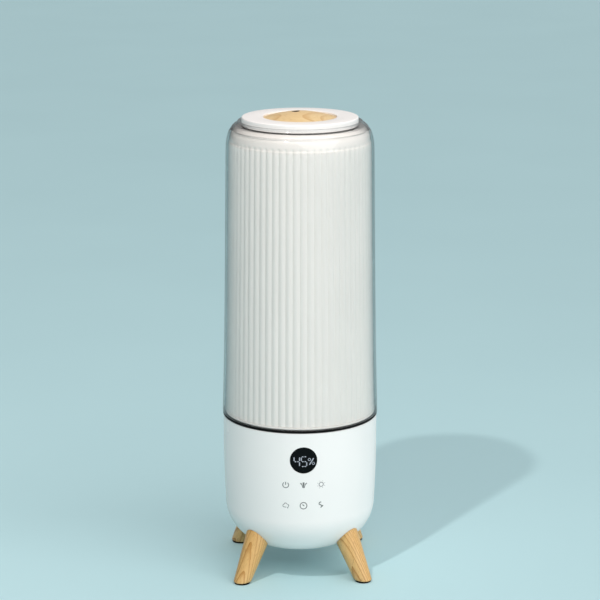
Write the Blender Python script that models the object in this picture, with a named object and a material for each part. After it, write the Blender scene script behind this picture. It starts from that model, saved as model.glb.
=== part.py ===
"""Cool mist humidifier: a clear tank with a fluted sleeve on a round white base with four wooden legs.

Metres, +Z up. The origin is on the floor, under the middle. The front, with the display, faces -Y.
"""

import bmesh
import bpy
from math import cos, pi, radians, sin, sqrt
from mathutils import Matrix

# Fits and facets
GAP = 0.0003            # air left between two pieces that touch
WIDE_STEPS = 32         # facets round the casing, the tank and the lid
ROUND_STEPS = 16        # facets round a tube or a small turned piece
SCREW_STEPS = 8         # facets round a screw
PILOT_R = 0.0013        # hole for a small screw
SMALL_SCREW = (0.0024, 0.0014, 0.0010)      # head radius, head height and shank radius

# Base shell: an upright wall on a bowl
BOTTOM_Z = 0.0314
BOWL_CORNER = 0.049     # radius of the bowl's rounded corner
BOWL_Z = BOTTOM_Z + BOWL_CORNER
WAIST_R = 0.0872        # outer radius where bowl and wall meet
BASE_R = 0.0893         # outer radius of the wall near its top
BASE_R_Z = 0.150        # height from which the wall is upright
BASE_TOP_Z = 0.185
SHELL_WALL = 0.0026
SHELL_FLOOR_Z = 0.0364
CORNER_X = WAIST_R - BOWL_CORNER

# Bottom cover and its air slots
COVER_R = 0.0362
COVER_THICK = 0.0020
LEDGE_R = 0.0300
SLOTS = 10
COVER_SCREWS = 3
COVER_SCREW_R = 0.0331

# Legs
FOOT_REACH = 0.1003     # floor centre of a foot, from the middle
LEG_SPLAY = radians(29.0)
LEG_LENGTH = 0.0548     # along the leg's axis, floor to bowl
FOOT_R = 0.0095
LEG_TOP_R = 0.0140
PAD_R = 0.0090
PAD_THICK = 0.0016
LEG_ANGLES = {
    "front_left": radians(225.0),
    "front_right": radians(315.0),
    "rear_right": radians(45.0),
    "rear_left": radians(135.0),
}
BOSS_TOP = LEG_LENGTH + 0.0110
LEG_BORE_R = 0.0021

# Water deck
DECK_R = BASE_R - SHELL_WALL - GAP
DECK_WALL = 0.0024
DECK_SHELF_Z = 0.1712   # upper side of the outer shelf
BASIN_R = 0.058
BASIN_Z = 0.156
WELL_Z = 0.1522
CHIMNEY_X = 0.0262
CHIMNEY_R = 0.0085
CHIMNEY_BORE = 0.0068
CHIMNEY_TOP_Z = 0.205
DECK_SCREW_R = 0.0755
DECK_SCREW_ANGLES = [radians(a) for a in (90.0, 210.0, 330.0)]
DECK_BOSS_Z = 0.183
DECK_HOLE_R = 0.0017

# Joint between base and tank
SEAL_Z0 = BASE_TOP_Z + GAP
SEAL_Z1 = 0.1882
SEAL_R = 0.0899
TANK_Z0 = SEAL_Z1 + GAP

# Tank
TANK_R = 0.0902
TANK_WALL = 0.0024
TANK_PROFILE = [        # outer radius and height of the clear wall
    (TANK_R, TANK_Z0),
    (0.0884, 0.252),
    (0.0869, 0.330),
    (0.0854, 0.436),
    (0.0845, 0.496),
    (0.0834, 0.508),
    (0.0813, 0.516),
    (0.0792, 0.5193),
]
FLOOR_TOP_Z = 0.1905
FLOOR_R = TANK_R - TANK_WALL - GAP - 0.0002
HOOD_R = 0.0385
HOOD_TOP_Z = 0.2222
HOOD_WALL = 0.0023
HOOD_FLANGE_R = 0.0398
HOOD_BEAD_R = 0.0396
HOOD_LOW_Z = 0.1720
SKIRT_BORE = 0.0805     # ring under the floor that centres the tank in the deck's rim
SKIRT_R = 0.0825
SKIRT_Z = 0.1765
TUBE_R = 0.0135
TUBE_BORE = 0.0115
TUBE_TOP_Z = 0.515
TUBE_FOOT_R = 0.0163
RIBS = 64
RIB_DEPTH = 0.0011
SLEEVE_R0 = 0.0858
SLEEVE_R1 = 0.0808
SLEEVE_WALL = 0.0030
RIB_TOP_Z = 0.500
SHOULDER_OUT = [        # radius and height of the sleeve's smooth shoulder, outside then inside
    (0.0799, 0.5055),
    (0.0780, 0.5130),
    (0.0757, 0.5172),
    (0.0740, 0.5196),
    (0.0725, 0.5208),
    (0.0664, 0.5208),
]
SHOULDER_IN = [
    (0.0664, 0.5192),
    (0.0722, 0.5192),
    (0.0733, 0.5181),
    (0.0746, 0.5160),
    (0.0766, 0.5120),
    (0.0783, 0.5050),
]

# Valve, and float on its post
VALVE_X = -0.0500
VALVE_HOLE = 0.0045
VALVE_LIFT = 0.0040
STEM_R = 0.0028
FLANGE_R = 0.0062
FLANGE_Z = 0.1745
SPRING_R = 0.0052
SPRING_WIRE = 0.0005
SPRING_TURNS = 5
FLOAT_Y = 0.0485
FLOAT_R = 0.0085
FLOAT_POST_R = 0.0028
FLOAT_STOP_Z = 0.1768   # underside of the barb on the float's post

# Tank rim and lid
RIM_Z = 0.5282
RIM_BORE = 0.0672
RIM_STEP_Z = 0.5235
COLLAR_BORE = 0.0635
COLLAR_Z = 0.508
LID_R = 0.0664
LID_Z = 0.533
CAP_R = 0.0415
CAP_TOP_Z = 0.539
CAP_EDGE_Z = 0.5312
CAP_CROWN = 1.6         # power of the radius in the dome's fall, from its peak to its edge
INSERT_R = 0.0300
CAP_RECESS_Z = 0.530
LID_FLOOR_Z = CAP_RECESS_Z - 0.0025
MIST_HOLE_X = -0.0045
MIST_HOLE_R = 0.0035

# Front controls
DISPLAY_Z = 0.1534
DISPLAY_R = 0.0153
BOARD_Y = -0.0790       # front side of the control board
BOARD_THICK = 0.0016
TOUCH_ROWS = (0.1239, 0.0991)
TOUCH_PITCH = 0.0205
CONTROL_SCREW_Z = (0.1335, 0.1115)
MAIN_SCREW_X = (-0.008, 0.008)
MAIN_SCREW_Z = 0.1155

# Fan, under the deck
FAN_Z0 = SHELL_FLOOR_Z + GAP
FAN_TOP_Z = 0.056
FAN_R = 0.030
BLADES = 11
SHAFT_R = 0.0010
DUCT_R = 0.0108
HOLDER_SCREW_Y = (-0.0235, 0.0235)

# Oil tray and power inlet, at the rear
TRAY_HALF = 0.0205
TRAY_Z = (0.1100, 0.1210)
TRAY_Y = 0.0565
HOUSING_WALL = 0.0018
HOUSING_Y = 0.0520
INLET_Z = 0.083
INLET_R = 0.0052


# ---------------------------------------------------------------- helpers

def turned(outline, steps=ROUND_STEPS, place=Matrix()):
    """Turn (radius, height) points about Z. The outline is closed unless both its ends are on the axis."""
    bm = bmesh.new()
    verts = [bm.verts.new((r, 0.0, z)) for r, z in outline]
    pairs = list(zip(verts, verts[1:]))
    if outline[0][0] > 0.0 or outline[-1][0] > 0.0:
        pairs.append((verts[-1], verts[0]))
    edges = [bm.edges.new(pair) for pair in pairs]
    bmesh.ops.spin(bm, geom=verts + edges, cent=(0, 0, 0), axis=(0, 0, 1), angle=2.0 * pi, steps=steps)
    bmesh.ops.remove_doubles(bm, verts=bm.verts, dist=1e-6)
    bmesh.ops.recalc_face_normals(bm, faces=bm.faces)
    bmesh.ops.transform(bm, matrix=place, verts=bm.verts)
    return bm


def rod(radius, z0, z1, steps=ROUND_STEPS, place=Matrix()):
    """A cylinder whose facets start half a step round, so no edge lies in the plane it is centred on."""
    return turned([(0.0, z0), (radius, z0), (radius, z1), (0.0, z1)], steps, place @ about_z(pi / steps))


def ring(bore, radius, z0, z1, steps=ROUND_STEPS, place=Matrix()):
    return turned([(bore, z0), (radius, z0), (radius, z1), (bore, z1)], steps, place)


def block(low, high, place=Matrix()):
    bm = bmesh.new()
    size = [b - a for a, b in zip(low, high)]
    middle = [(a + b) / 2.0 for a, b in zip(low, high)]
    bmesh.ops.create_cube(bm, size=1.0)
    bmesh.ops.scale(bm, vec=size, verts=bm.verts)
    bmesh.ops.translate(bm, vec=middle, verts=bm.verts)
    bmesh.ops.transform(bm, matrix=place, verts=bm.verts)
    return bm


def group(shapes):
    """Put several shapes in one mesh."""
    whole = bmesh.new()
    for shape in shapes:
        mesh = bpy.data.meshes.new("shape")
        shape.to_mesh(mesh)
        shape.free()
        whole.from_mesh(mesh)
        bpy.data.meshes.remove(mesh)
    return whole


def at(x, y, z=0.0):
    return Matrix.Translation((x, y, z))


def about_z(angle):
    return Matrix.Rotation(angle, 4, "Z")


def along_y(x, y, z):
    """Place a turned shape so that its +Z runs along +Y from (x, y, z)."""
    return Matrix.Translation((x, y, z)) @ Matrix.Rotation(-pi / 2.0, 4, "X")


def along_leg(angle):
    """The frame of one leg: origin at its foot, +Z up the leg."""
    lean = Matrix.Rotation(-LEG_SPLAY, 4, "Y")
    return about_z(angle) @ Matrix.Translation((FOOT_REACH, 0.0, 0.0)) @ lean


def material(name, color, roughness, metallic=0.0, alpha=1.0):
    mat = bpy.data.materials.new(name)
    mat.use_nodes = True
    shader = mat.node_tree.nodes["Principled BSDF"]
    shader.inputs["Base Color"].default_value = (*color, 1.0)
    shader.inputs["Roughness"].default_value = roughness
    shader.inputs["Metallic"].default_value = metallic
    shader.inputs["Alpha"].default_value = alpha
    return mat


def add(name, shape, mat, frame=None):
    """Make an object from a shape. With a frame, the shape is in that frame's own axes."""
    mesh = bpy.data.meshes.new(name)
    shape.to_mesh(mesh)
    shape.free()
    mesh.shade_smooth()
    mesh.set_sharp_from_angle(angle=radians(35.0))
    obj = bpy.data.objects.new(name, mesh)
    bpy.context.scene.collection.objects.link(obj)
    if mat is not None:
        mesh.materials.append(mat)
    if frame is not None:
        obj.matrix_world = frame
    return obj


def guide(name, shape):
    """A shape that cuts or joins others, and isn't a piece itself."""
    obj = add(name, shape, None)
    obj.hide_render = True
    obj.display_type = "WIRE"
    return obj


def combine(obj, operation, operand):
    step = obj.modifiers.new(operation.lower(), "BOOLEAN")
    step.operation = operation
    step.object = operand
    step.solver = "EXACT"


def screw_shape(head_r, head_h, shank_r, length, steps=SCREW_STEPS):
    """A pan-head screw: +Z points out of its head, and the head's underside is at 0."""
    dome = [(head_r * 0.6, head_h), (head_r, head_h * 0.55), (head_r, 0.0)]
    tip = [(shank_r, 0.0), (shank_r, shank_r - length), (0.0, -length)]
    return turned([(0.0, head_h)] + dome + tip, steps)


# ---------------------------------------------------------------- the base

def wall_radius(z):
    """Outer radius of the base wall, which swells a little from waist to top."""
    if z >= BASE_R_Z:
        return BASE_R
    return BASE_R - (BASE_R - WAIST_R) * ((BASE_R_Z - z) / (BASE_R_Z - BOWL_Z)) ** 2


def bowl_points(offset, arc_steps=6, low=BOTTOM_Z):
    """The bowl's corner and wall, moved outwards by offset, from its low end up to the top."""
    points = []
    for i in range(arc_steps + 1):
        a = radians(-90.0 + 88.0 * i / arc_steps)
        r = CORNER_X + (BOWL_CORNER + offset) * cos(a)
        z = BOWL_Z + (BOWL_CORNER + offset) * sin(a)
        if z >= low:
            points.append((r, z))
    for z in (0.096, 0.120, BASE_R_Z):
        points.append((wall_radius(z) + offset, z))
    return points


def arc_radius(offset, z):
    """Radius of the bowl's corner at one height."""
    reach = BOWL_CORNER + offset
    return CORNER_X + sqrt(reach * reach - (BOWL_Z - z) ** 2)


def base_form(name, offset):
    """The base's outer form as one solid, grown by offset."""
    outline = [(0.0, BOTTOM_Z - offset)] + bowl_points(offset, low=0.0)
    outline += [(BASE_R + offset, BASE_TOP_Z), (0.0, BASE_TOP_Z)]
    return guide(name, turned(outline, WIDE_STEPS))


def deck_brackets():
    arms = []
    for angle in DECK_SCREW_ANGLES:
        arms.append(block((0.0705, -0.005, 0.160), (0.088, 0.005, 0.1685), about_z(angle)))
    return guide("deck_brackets", group(arms))


def leg_bosses(core):
    bosses = []
    for angle in LEG_ANGLES.values():
        bosses.append(rod(0.0065, LEG_LENGTH - 0.010, BOSS_TOP, 12, along_leg(angle)))
    obj = guide("leg_bosses", group(bosses))
    combine(obj, "INTERSECT", core)
    return obj


def shell_holes():
    holes = [rod(DISPLAY_R + GAP, -0.012, 0.012, 32, along_y(0.0, -0.0885, DISPLAY_Z))]
    holes.append(rod(INLET_R + GAP, -0.010, 0.010, 16, along_y(0.0, WAIST_R, INLET_Z)))
    half = TRAY_HALF + GAP
    holes.append(block((-half, 0.070, TRAY_Z[0] - GAP), (half, 0.095, TRAY_Z[1] + GAP)))
    for angle in LEG_ANGLES.values():
        holes.append(rod(LEG_BORE_R, 0.040, BOSS_TOP + 0.002, SCREW_STEPS, along_leg(angle)))
    for angle in DECK_SCREW_ANGLES:
        place = about_z(angle) @ at(DECK_SCREW_R, 0.0)
        holes.append(rod(DECK_HOLE_R, 0.158, 0.170, SCREW_STEPS, place))
    for i in range(COVER_SCREWS):
        place = about_z(2.0 * pi * i / COVER_SCREWS) @ at(COVER_SCREW_R, 0.0)
        holes.append(rod(PILOT_R, 0.033, 0.0362, SCREW_STEPS, place))
    for z in CONTROL_SCREW_Z:
        holes.append(rod(PILOT_R, -0.006, 0.002, SCREW_STEPS, along_y(0.0, -0.0800, z)))
    return guide("shell_holes", group(holes))


def base_shell(mat):
    floor_r = arc_radius(-SHELL_WALL, SHELL_FLOOR_Z)
    outer = [p for p in bowl_points(0.0) if p[0] > COVER_R + GAP]
    inner = [(floor_r, SHELL_FLOOR_Z)]
    inner += [p for p in bowl_points(-SHELL_WALL) if p[1] > SHELL_FLOOR_Z + 0.0005]
    rim = [(BASE_R, BASE_TOP_Z - 0.001), (BASE_R - 0.0008, BASE_TOP_Z), (BASE_R - SHELL_WALL, BASE_TOP_Z)]
    recess_z = BOTTOM_Z + COVER_THICK + GAP
    seat = [
        (LEDGE_R, SHELL_FLOOR_Z),
        (LEDGE_R, recess_z),
        (COVER_R + GAP, recess_z),
        (COVER_R + GAP, BOTTOM_Z),
    ]
    shell = add("base_shell", turned(outer + rim + inner[::-1] + seat, WIDE_STEPS), mat)
    core = base_form("wall_core", -0.0013)
    control_bosses = []
    for z in CONTROL_SCREW_Z:
        control_bosses.append(rod(0.0026, -0.0085, 0.0, 8, along_y(0.0, BOARD_Y - GAP, z)))
    combine(shell, "UNION", leg_bosses(core))
    combine(shell, "UNION", deck_brackets())
    combine(shell, "UNION", guide("control_bosses", group(control_bosses)))
    combine(shell, "DIFFERENCE", shell_holes())
    return shell


def bottom_cover(mat):
    top = BOTTOM_Z + COVER_THICK
    disc = [(0.0, BOTTOM_Z), (COVER_R, BOTTOM_Z), (COVER_R, top), (0.0, top)]
    cover = add("bottom_cover", turned(disc, WIDE_STEPS), mat)
    holes = []
    for i in range(SLOTS):
        place = about_z(2.0 * pi * (i + 0.5) / SLOTS)
        holes.append(block((0.009, -0.0012, BOTTOM_Z - 0.002), (0.0235, 0.0012, top + 0.002), place))
    for i in range(COVER_SCREWS):
        place = about_z(2.0 * pi * i / COVER_SCREWS) @ at(COVER_SCREW_R, 0.0)
        holes.append(rod(0.0016, BOTTOM_Z - 0.002, top + 0.002, SCREW_STEPS, place))
    combine(cover, "DIFFERENCE", guide("cover_holes", group(holes)))


def cover_screws(mat):
    for i in range(COVER_SCREWS):
        angle = 2.0 * pi * i / COVER_SCREWS
        place = about_z(angle) @ at(COVER_SCREW_R, 0.0, BOTTOM_Z - GAP) @ Matrix.Rotation(pi, 4, "X")
        add(f"cover_screw_{i + 1}", screw_shape(0.0026, 0.0015, 0.0010, 0.0046), mat, place)


def legs(wood, rubber, steel):
    bowl = base_form("leg_top_cutter", GAP)
    foot_cutter = guide("leg_foot_cutter", block((-0.2, -0.2, -0.05), (0.2, 0.2, PAD_THICK + GAP)))
    tapered = [
        (0.0, -0.012),
        (FOOT_R - 0.0010, -0.012),
        (LEG_TOP_R, LEG_LENGTH),
        (LEG_TOP_R, 0.072),
        (0.0, 0.072),
    ]
    bore = [(0.0, 0.031), (LEG_BORE_R, 0.033), (LEG_BORE_R, 0.075), (0.0, 0.075)]
    for side, angle in LEG_ANGLES.items():
        frame = along_leg(angle)
        leg = add(f"leg_{side}", turned(tapered, 24), wood, frame)
        combine(leg, "DIFFERENCE", bowl)
        combine(leg, "DIFFERENCE", foot_cutter)
        combine(leg, "DIFFERENCE", guide(f"leg_bore_{side}", turned(bore, SCREW_STEPS, frame)))
        pad = [(0.0, 0.0), (PAD_R - 0.0006, 0.0), (PAD_R, 0.0006), (PAD_R, PAD_THICK), (0.0, PAD_THICK)]
        pad_place = about_z(angle) @ at(FOOT_REACH - 0.0011, 0.0)
        add(f"foot_pad_{side}", turned(pad, 20), rubber, pad_place)
        screw_place = frame @ at(0.0, 0.0, BOSS_TOP + GAP)
        add(f"leg_screw_{side}", screw_shape(0.0045, 0.0030, 0.0018, 0.0320), steel, screw_place)


def water_deck(mat):
    well = [
        (0.0100, 0.1500),
        (0.0100, WELL_Z),
        (0.0135, WELL_Z),
        (0.0160, BASIN_Z),
        (BASIN_R, BASIN_Z),
        (BASIN_R + 0.002, DECK_SHELF_Z),
    ]
    rim = [
        (DECK_R - DECK_WALL, DECK_SHELF_Z),
        (DECK_R - DECK_WALL, BASE_TOP_Z),
        (DECK_R, BASE_TOP_Z),
        (DECK_R, DECK_SHELF_Z - DECK_WALL),
    ]
    under = [
        (BASIN_R + 0.004, DECK_SHELF_Z - DECK_WALL),
        (BASIN_R + 0.002, BASIN_Z - DECK_WALL),
        (0.0175, BASIN_Z - DECK_WALL),
        (0.0155, 0.1500),
    ]
    deck = add("water_deck", turned(well + rim + under, WIDE_STEPS), mat)
    posts = [rod(CHIMNEY_R, 0.1430, CHIMNEY_TOP_Z, 16, at(CHIMNEY_X, 0.0))]
    posts.append(rod(0.0025, 0.1550, FLANGE_Z - GAP, 10, at(VALVE_X, 0.0)))
    barb = [
        (0.0, 0.1550),
        (FLOAT_POST_R, 0.1550),
        (FLOAT_POST_R, FLOAT_STOP_Z),
        (FLOAT_POST_R + 0.0012, FLOAT_STOP_Z + 0.0002),
        (FLOAT_POST_R, FLOAT_STOP_Z + 0.0017),
        (0.0, FLOAT_STOP_Z + 0.0017),
    ]
    posts.append(turned(barb, 12, at(0.0, FLOAT_Y) @ about_z(pi / 12)))
    for y in HOLDER_SCREW_Y:
        posts.append(rod(0.0034, 0.1465, 0.1545, 10, at(0.0, y)))
    holes = [rod(CHIMNEY_BORE, 0.140, CHIMNEY_TOP_Z + 0.002, 16, at(CHIMNEY_X, 0.0))]
    for y in HOLDER_SCREW_Y:
        holes.append(rod(PILOT_R, 0.145, 0.1520, SCREW_STEPS, at(0.0, y)))
    for angle in DECK_SCREW_ANGLES:
        place = about_z(angle) @ at(DECK_SCREW_R, 0.0)
        posts.append(rod(0.0040, 0.1700, DECK_BOSS_Z, 10, place))
        holes.append(rod(DECK_HOLE_R, 0.160, 0.190, SCREW_STEPS, place))
    combine(deck, "UNION", guide("deck_posts", group(posts)))
    combine(deck, "DIFFERENCE", guide("deck_holes", group(holes)))


def deck_screws(mat):
    for i, angle in enumerate(DECK_SCREW_ANGLES):
        place = about_z(angle) @ at(DECK_SCREW_R, 0.0, DECK_BOSS_Z + GAP)
        add(f"deck_screw_{i + 1}", screw_shape(0.0030, 0.0018, 0.0014, 0.0200), mat, place)


def rim_seal(mat):
    inner = DECK_R - DECK_WALL + 0.0003
    outline = [
        (inner, SEAL_Z0),
        (SEAL_R - 0.0006, SEAL_Z0),
        (SEAL_R, SEAL_Z0 + 0.0006),
        (SEAL_R, SEAL_Z1 - 0.0006),
        (SEAL_R - 0.0006, SEAL_Z1),
        (inner, SEAL_Z1),
    ]
    add("rim_seal", turned(outline, WIDE_STEPS), mat)


# ---------------------------------------------------------------- controls and electronics

def display_window(mat):
    back = BASE_R - SHELL_WALL + 0.0002
    window = add("display_window", ring(back, BASE_R, 0.135, 0.172, 3 * WIDE_STEPS), mat)
    disc = guide("window_disc", rod(DISPLAY_R, -0.010, 0.010, 32, along_y(0.0, -0.0885, DISPLAY_Z)))
    combine(window, "INTERSECT", disc)


def control_board(green, steel):
    back = BOARD_Y + BOARD_THICK
    board = add("control_board", block((-0.0240, BOARD_Y, 0.0890), (0.0240, back, 0.1678)), green)
    low, high = DISPLAY_Z - 0.0075, DISPLAY_Z + 0.0075
    fittings = [block((-0.0110, -0.0845, low), (0.0110, BOARD_Y + 0.0005, high))]
    fittings.append(block((-0.006, back - 0.0005, 0.1450), (0.006, back + 0.0012, 0.1570)))
    for z in TOUCH_ROWS:
        for column in (-1, 0, 1):
            reach = 0.0055 if column == 0 else 0.0021
            place = along_y(column * TOUCH_PITCH, BOARD_Y, z)
            fittings.append(rod(0.0038, -reach, 0.0005, 10, place))
    holes = []
    for i, z in enumerate(CONTROL_SCREW_Z):
        holes.append(rod(PILOT_R, -0.004, 0.004, SCREW_STEPS, along_y(0.0, BOARD_Y, z)))
        place = along_y(0.0, back + GAP, z)
        add(f"control_screw_{i + 1}", screw_shape(*SMALL_SCREW, 0.0060), steel, place)
    combine(board, "UNION", guide("board_fittings", group(fittings)))
    combine(board, "DIFFERENCE", guide("board_holes", group(holes)))


def main_board(green, steel):
    back = HOUSING_Y - GAP
    front = back - BOARD_THICK
    board = add("main_board", block((-0.030, front, 0.082), (0.030, back, 0.136)), green)
    fittings = [
        block((-0.026, front - 0.012, 0.086), (-0.010, front + 0.0005, 0.104)),
        block((-0.004, front - 0.003, 0.090), (0.010, front + 0.0005, 0.102)),
        block((0.014, front - 0.009, 0.086), (0.027, front + 0.0005, 0.096)),
        rod(0.005, -0.014, 0.0005, 12, along_y(-0.016, front, 0.126)),
        rod(0.004, -0.011, 0.0005, 12, along_y(0.020, front, 0.125)),
    ]
    holes = []
    for i, x in enumerate(MAIN_SCREW_X):
        holes.append(rod(PILOT_R, -0.004, 0.004, SCREW_STEPS, along_y(x, front, MAIN_SCREW_Z)))
        place = along_y(x, front - GAP, MAIN_SCREW_Z) @ Matrix.Rotation(pi, 4, "X")
        add(f"board_screw_{i + 1}", screw_shape(*SMALL_SCREW, 0.0050), steel, place)
    combine(board, "UNION", guide("main_fittings", group(fittings)))
    combine(board, "DIFFERENCE", guide("main_holes", group(holes)))


def power_inlet(mat):
    outline = [
        (0.0, -0.0020),
        (0.0010, -0.0020),
        (0.0010, -0.0095),
        (0.0032, -0.0095),
        (0.0032, 0.0),
        (INLET_R, 0.0),
        (INLET_R, -0.0140),
        (0.0, -0.0140),
    ]
    add("power_inlet", turned(outline, 16), mat, along_y(0.0, wall_radius(INLET_Z) - 0.0004, INLET_Z))


# ---------------------------------------------------------------- fan, duct and mist maker

def fan_housing(mat):
    body = add("fan_housing", rod(FAN_R, FAN_Z0, FAN_TOP_Z, 28), mat)
    snout = guide("fan_snout", block((0.010, -0.0118, FAN_Z0), (0.0385, 0.0118, FAN_TOP_Z)))
    hollow = [
        (0.0, FAN_Z0 - 0.002),
        (0.0170, FAN_Z0 - 0.002),
        (0.0170, FAN_Z0 + 0.002),
        (FAN_R - 0.0035, FAN_Z0 + 0.002),
        (FAN_R - 0.0035, FAN_TOP_Z - 0.002),
        (0.0030, FAN_TOP_Z - 0.002),
        (0.0030, FAN_TOP_Z + 0.002),
        (0.0, FAN_TOP_Z + 0.002),
    ]
    side = guide("fan_outlet", rod(0.0088, 0.046, FAN_TOP_Z + 0.002, 16, at(CHIMNEY_X, 0.0)))
    throat = block((0.012, -0.0085, FAN_Z0 + 0.003), (0.0350, 0.0085, FAN_TOP_Z - 0.003))
    combine(body, "UNION", snout)
    combine(body, "DIFFERENCE", guide("fan_hollow", turned(hollow, 28)))
    combine(body, "DIFFERENCE", guide("fan_throat", throat))
    combine(body, "DIFFERENCE", side)


def fan_rotor(plastic, steel, dark):
    low = FAN_Z0 + 0.0043
    high = FAN_TOP_Z - 0.0050
    bore = SHAFT_R + GAP
    outline = [
        (bore, low),
        (0.0060, low),
        (0.0060, high - 0.0015),
        (0.0240, high - 0.0015),
        (0.0240, high),
        (bore, high),
    ]
    wheel = add("fan_impeller", turned(outline, ROUND_STEPS), plastic)
    blades = []
    for i in range(BLADES):
        place = about_z(2.0 * pi * i / BLADES) @ at(0.0055, 0.0) @ about_z(radians(18.0))
        blades.append(block((0.0, -0.0005, low), (0.0172, 0.0005, high - 0.0010), place))
    combine(wheel, "UNION", guide("fan_blades", group(blades)))
    add("fan_shaft", rod(SHAFT_R, low - 0.0005, 0.0625, 10), steel)
    motor = [
        (0.0, 0.0640),
        (bore, 0.0640),
        (bore, FAN_TOP_Z + GAP),
        (0.0120, FAN_TOP_Z + GAP),
        (0.0120, 0.0690),
        (0.0110, 0.0700),
        (0.0, 0.0700),
    ]
    add("fan_motor", turned(motor, ROUND_STEPS), dark)


def air_duct(mat):
    place = at(CHIMNEY_X, 0.0)
    add("air_duct", ring(DUCT_R - 0.0018, DUCT_R, FAN_TOP_Z + GAP, 0.1490, ROUND_STEPS, place), mat)


def mist_maker(rubber, brass, metal, steel):
    seal = [
        (0.0080, 0.1497),
        (0.0130, 0.1497),
        (0.0130, 0.1465),
        (0.0080, 0.1465),
        (0.0080, 0.1476),
        (0.0103, 0.1476),
        (0.0103, 0.1488),
        (0.0080, 0.1488),
    ]
    add("transducer_seal", turned(seal), rubber)
    add("transducer_disc", rod(0.0100, 0.1479, 0.1485), brass)
    holder = add("transducer_holder", block((-0.0135, -0.0275, 0.1440), (0.0135, 0.0275, 0.1462)), metal)
    holes = [rod(0.0078, 0.142, 0.148)]
    for i, y in enumerate(HOLDER_SCREW_Y):
        holes.append(rod(0.0014, 0.142, 0.148, SCREW_STEPS, at(0.0, y)))
        place = at(0.0, y, 0.1440 - GAP) @ Matrix.Rotation(pi, 4, "X")
        add(f"transducer_screw_{i + 1}", screw_shape(*SMALL_SCREW, 0.0070), steel, place)
    combine(holder, "DIFFERENCE", guide("holder_holes", group(holes)))


# ---------------------------------------------------------------- float, tray and valve

def water_float(mat):
    low = BASIN_Z + GAP
    high = low + 0.0090
    bore = FLOAT_POST_R + 0.0004
    outline = [
        (bore, low),
        (FLOAT_R - 0.0010, low),
        (FLOAT_R, low + 0.0010),
        (FLOAT_R, high - 0.0010),
        (FLOAT_R - 0.0010, high),
        (bore, high),
    ]
    add("water_float", turned(outline, 20), mat, at(0.0, FLOAT_Y))


def oil_tray(plastic, dark, felt):
    low, high = TRAY_Z
    wall = HOUSING_WALL
    clear = 0.0004
    housing = add("tray_housing", block(
        (-TRAY_HALF - clear - wall, HOUSING_Y, low - clear - wall),
        (TRAY_HALF + clear + wall, 0.0820, high + clear + wall)), dark)
    half = TRAY_HALF + clear
    holes = [block((-half, TRAY_Y - clear, low - clear), (half, 0.090, high + clear))]
    for x in MAIN_SCREW_X:
        holes.append(rod(PILOT_R, -0.001, 0.0035, SCREW_STEPS, along_y(x, HOUSING_Y, MAIN_SCREW_Z)))
    combine(housing, "DIFFERENCE", guide("housing_holes", group(holes)))
    tray = add("oil_tray", block((-TRAY_HALF, TRAY_Y, low), (TRAY_HALF, 0.095, high)), plastic)
    combine(tray, "INTERSECT", base_form("tray_front", 0.0))
    hollow = block((-TRAY_HALF + wall, TRAY_Y + wall, low + wall), (TRAY_HALF - wall, 0.0825, high + 0.002))
    grip = rod(0.0060, -0.0030, 0.0060, 24, along_y(0.0, 0.0885, high + 0.0015))
    combine(tray, "DIFFERENCE", guide("tray_hollow", group([hollow, grip])))
    inset = wall + GAP
    add("oil_pad", block(
        (-TRAY_HALF + inset, TRAY_Y + inset, low + inset), (TRAY_HALF - inset, 0.0825 - GAP, 0.1160)), felt)


def valve(plastic, rubber, steel):
    place = at(VALVE_X, 0.0)
    seat = FLOOR_TOP_Z + GAP + VALVE_LIFT
    head = seat + 0.0025 + GAP
    stem = [
        (0.0, FLANGE_Z),
        (FLANGE_R, FLANGE_Z),
        (FLANGE_R, FLANGE_Z + 0.0012),
        (STEM_R, FLANGE_Z + 0.0012),
        (STEM_R, head),
        (0.0090, head),
        (0.0090, head + 0.0012),
        (0.0060, head + 0.0022),
        (0.0, head + 0.0022),
    ]
    add("valve_stem", turned(stem, 16), plastic, place)
    add("valve_seal", ring(STEM_R + GAP, 0.0098, seat, seat + 0.0025, 16), rubber, place)
    low = FLANGE_Z + 0.0012 + GAP + SPRING_WIRE
    high = TANK_Z0 - GAP - SPRING_WIRE
    count = 10 * SPRING_TURNS
    coil = bpy.data.curves.new("valve_spring", "CURVE")
    coil.dimensions = "3D"
    coil.bevel_depth = SPRING_WIRE
    coil.bevel_resolution = 0
    coil.use_fill_caps = True
    line = coil.splines.new("POLY")
    line.points.add(count)
    for i in range(count + 1):
        a = 2.0 * pi * SPRING_TURNS * i / count
        z = low + (high - low) * i / count
        line.points[i].co = (SPRING_R * cos(a), SPRING_R * sin(a), z, 1.0)
    spring = bpy.data.objects.new("valve_spring", coil)
    coil.materials.append(steel)
    spring.location = (VALVE_X, 0.0, 0.0)
    bpy.context.scene.collection.objects.link(spring)


# ---------------------------------------------------------------- the tank

def tank_wall(mat):
    inner = [(r - TANK_WALL, z) for r, z in TANK_PROFILE[:-3]]
    inner += [(0.0807, 0.5070), (0.0791, 0.5145), (0.0772, 0.5178)]
    add("tank_wall", turned(TANK_PROFILE + inner[::-1], WIDE_STEPS), mat)


def tank_rim(mat):
    outer = [
        (0.0790, 0.5197),
        (0.0770, 0.5227),
        (0.0742, 0.5250),
        (0.0730, 0.5247),
        (0.0722, 0.5262),
        (0.0708, RIM_Z),
    ]
    inner = [
        (RIM_BORE, RIM_Z),
        (RIM_BORE, RIM_STEP_Z),
        (COLLAR_BORE, RIM_STEP_Z),
        (COLLAR_BORE, COLLAR_Z),
        (COLLAR_BORE + 0.0022, COLLAR_Z),
        (COLLAR_BORE + 0.0022, 0.5215),
        (0.0730, 0.5215),
        (0.0752, 0.5202),
        (0.0770, 0.5182),
    ]
    add("tank_rim", turned(outer + inner, WIDE_STEPS), mat)


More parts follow.
